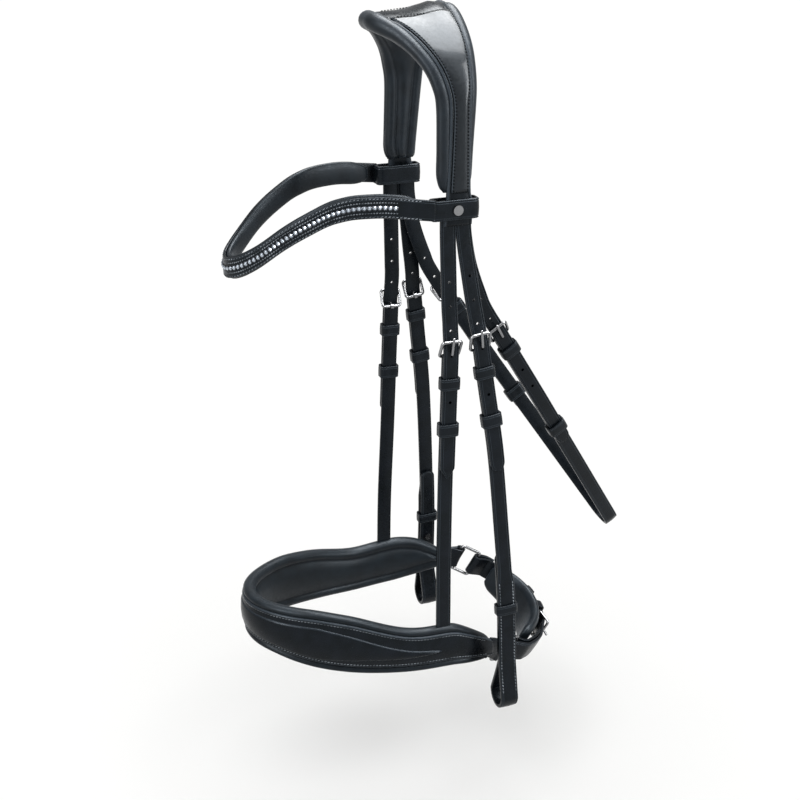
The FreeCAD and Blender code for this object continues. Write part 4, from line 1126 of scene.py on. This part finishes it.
# %% chin cushion
CUSHION_TALL, CUSHION_THICK, CUSHION_IN = 19.5, 4.2, -7.6
count = 60
centre = chin_arc(29, 151, CUSHION_IN, count)
out = unit(centre * (1, 1, 0) - (0, CHIN_C, 0))
swell = rounded(from_ends(count), 6, 0.04)
tall = CUSHION_TALL * (0.72 + 0.28 * np.sin(np.linspace(0, math.pi, count)))
columns = []
for a in np.radians(np.arange(0, 360, 15)):
    u = np.sign(math.cos(a)) * abs(math.cos(a)) ** 0.75
    v = np.sign(math.sin(a)) * abs(math.sin(a)) ** 0.8
    ridge = 0.9 * math.exp(-((abs(u) - 0.72) / 0.16) ** 2) * np.sign(v)
    columns.append(centre + np.array([0, 0, 1.0]) * (u * tall * (0.5 + 0.5 * swell))[:, None]
                   + out * ((v * CUSHION_THICK + ridge) * swell)[:, None])
points = chin(np.stack(columns, 1).reshape(-1, 3)).reshape(count, len(columns), 3)
piece = loft("chin_cushion", points, LINING, "chin_closure")
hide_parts("chin_pad")
print("cushion", round(2 * CUSHION_TALL), "mm tall at its middle")

# %% chin keepers
for tag, angle in (("near", 91), ("far", 110)):
    place = chin_arc(angle, angle + 1, 0.0, 1)[0]
    t = math.radians(angle)
    along = unit(np.array([-CHIN_A * math.sin(t), CHIN_B * math.cos(t), 0]))
    outward = np.array([along[1], -along[0], 0])
    outline = keeper_outline(HALF_TALL + 1.3, -0.9, LIFT + LEATHER + 1.2, 2.5, 0.3)
    ring = spline([place + np.array([0, 0, u]) + outward * v for u, v in outline], 1.0, closed=True)
    piece = band("chin_keeper_" + tag + "_loop", chin(ring), chin_directions(np.tile(along, (len(ring), 1))),
                 chin_directions(facing_out(ring, along)), 4.5, -0.8, 0.8, STRAP, "chin_closure",
                 closed=True, profile=strap_profile(0.5, 1.5, 0.15, 0.1))
    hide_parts("chin_keeper_" + tag)
print("chin keepers done")

# %% [markdown]
# ## Floor, light and camera
# Black leather shows its shape only through what it mirrors, so long softboxes give each strap a
# highlight.  Lit the same way, the pale floor would show their bright patches, so the softboxes leave
# it out by light linking, and a broad lamp overhead lights floor and bridle evenly.

# %% floor and world
WIDE, FLOOR_Z = 40000.0, -640.0
paper = surface("paper", Base_Color=linear("#f7f7f6"), Roughness=0.9)[0]
corners = np.array([(x * WIDE, y * WIDE, FLOOR_Z) for x, y in ((-1, -1), (1, -1), (1, 1), (-1, 1))])
floor = mesh_object("floor", corners, np.array([[0, 1, 2, 3]]), paper, None)
world = bpy.data.worlds.new("studio")
bpy.context.scene.world = world
world.use_nodes = True
background = world.node_tree.nodes["Background"]
background.inputs["Color"].default_value = linear("#ffffff")
background.inputs["Strength"].default_value = 0.5
print("floor", round(-FLOOR_Z), "mm below the poll")

# %% lamps
object_only = bpy.data.collections.new("object_only")
object_only.objects.link(floor)
object_only.collection_objects[0].light_linking.link_state = "EXCLUDE"


def softbox(name, place, size, power, target=(0, 0, -0.28)):
    """Rectangular lamp in metres and watts, turned to its target, that leaves the floor out."""
    light = bpy.data.lights.new(name, "AREA")
    light.shape = "RECTANGLE"
    light.size, light.size_y = size
    light.energy = power
    lamp = bpy.data.objects.new(name, light)
    bpy.context.scene.collection.objects.link(lamp)
    lamp.location = place
    lamp.rotation_mode = "QUATERNION"
    lamp.rotation_quaternion = (Vector(target) - Vector(place)).to_track_quat("-Z", "Y")
    lamp.light_linking.receiver_collection = object_only


softbox("top", (-0.15, 0.48, 1.25), (1.7, 0.9), 95, target=(-0.15, 0.3, 0))
softbox("front", (0.9, -1.6, 0.7), (0.4, 1.5), 46)
softbox("rear", (1.3, 1.2, 0.5), (0.35, 1.5), 40)
sky = bpy.data.lights.new("sky", "SUN")
sky.energy = 1.95
sky.angle = math.radians(80)
bpy.context.scene.collection.objects.link(bpy.data.objects.new("sky", sky))
print(len(bpy.data.lights), "lamps")

# %% camera
AZIMUTH, PITCH = math.radians(68.98), math.radians(23.1)
camera = bpy.data.cameras.new("camera")
camera.lens, camera.sensor_width = 60.75, 36.0
camera.clip_start, camera.clip_end = 0.05, 120
eye = bpy.data.objects.new("camera", camera)
bpy.context.scene.collection.objects.link(eye)
look = Vector((-math.sin(AZIMUTH) * math.cos(PITCH), math.cos(AZIMUTH) * math.cos(PITCH), -math.sin(PITCH)))
eye.location = (0.9939, -0.4026, 0.1473)
eye.rotation_mode = "QUATERNION"
eye.rotation_quaternion = look.to_track_quat("-Z", "Y")
bpy.context.scene.camera = eye
bpy.context.scene.view_settings.view_transform = "Standard"
print("camera set, lens", camera.lens, "mm")
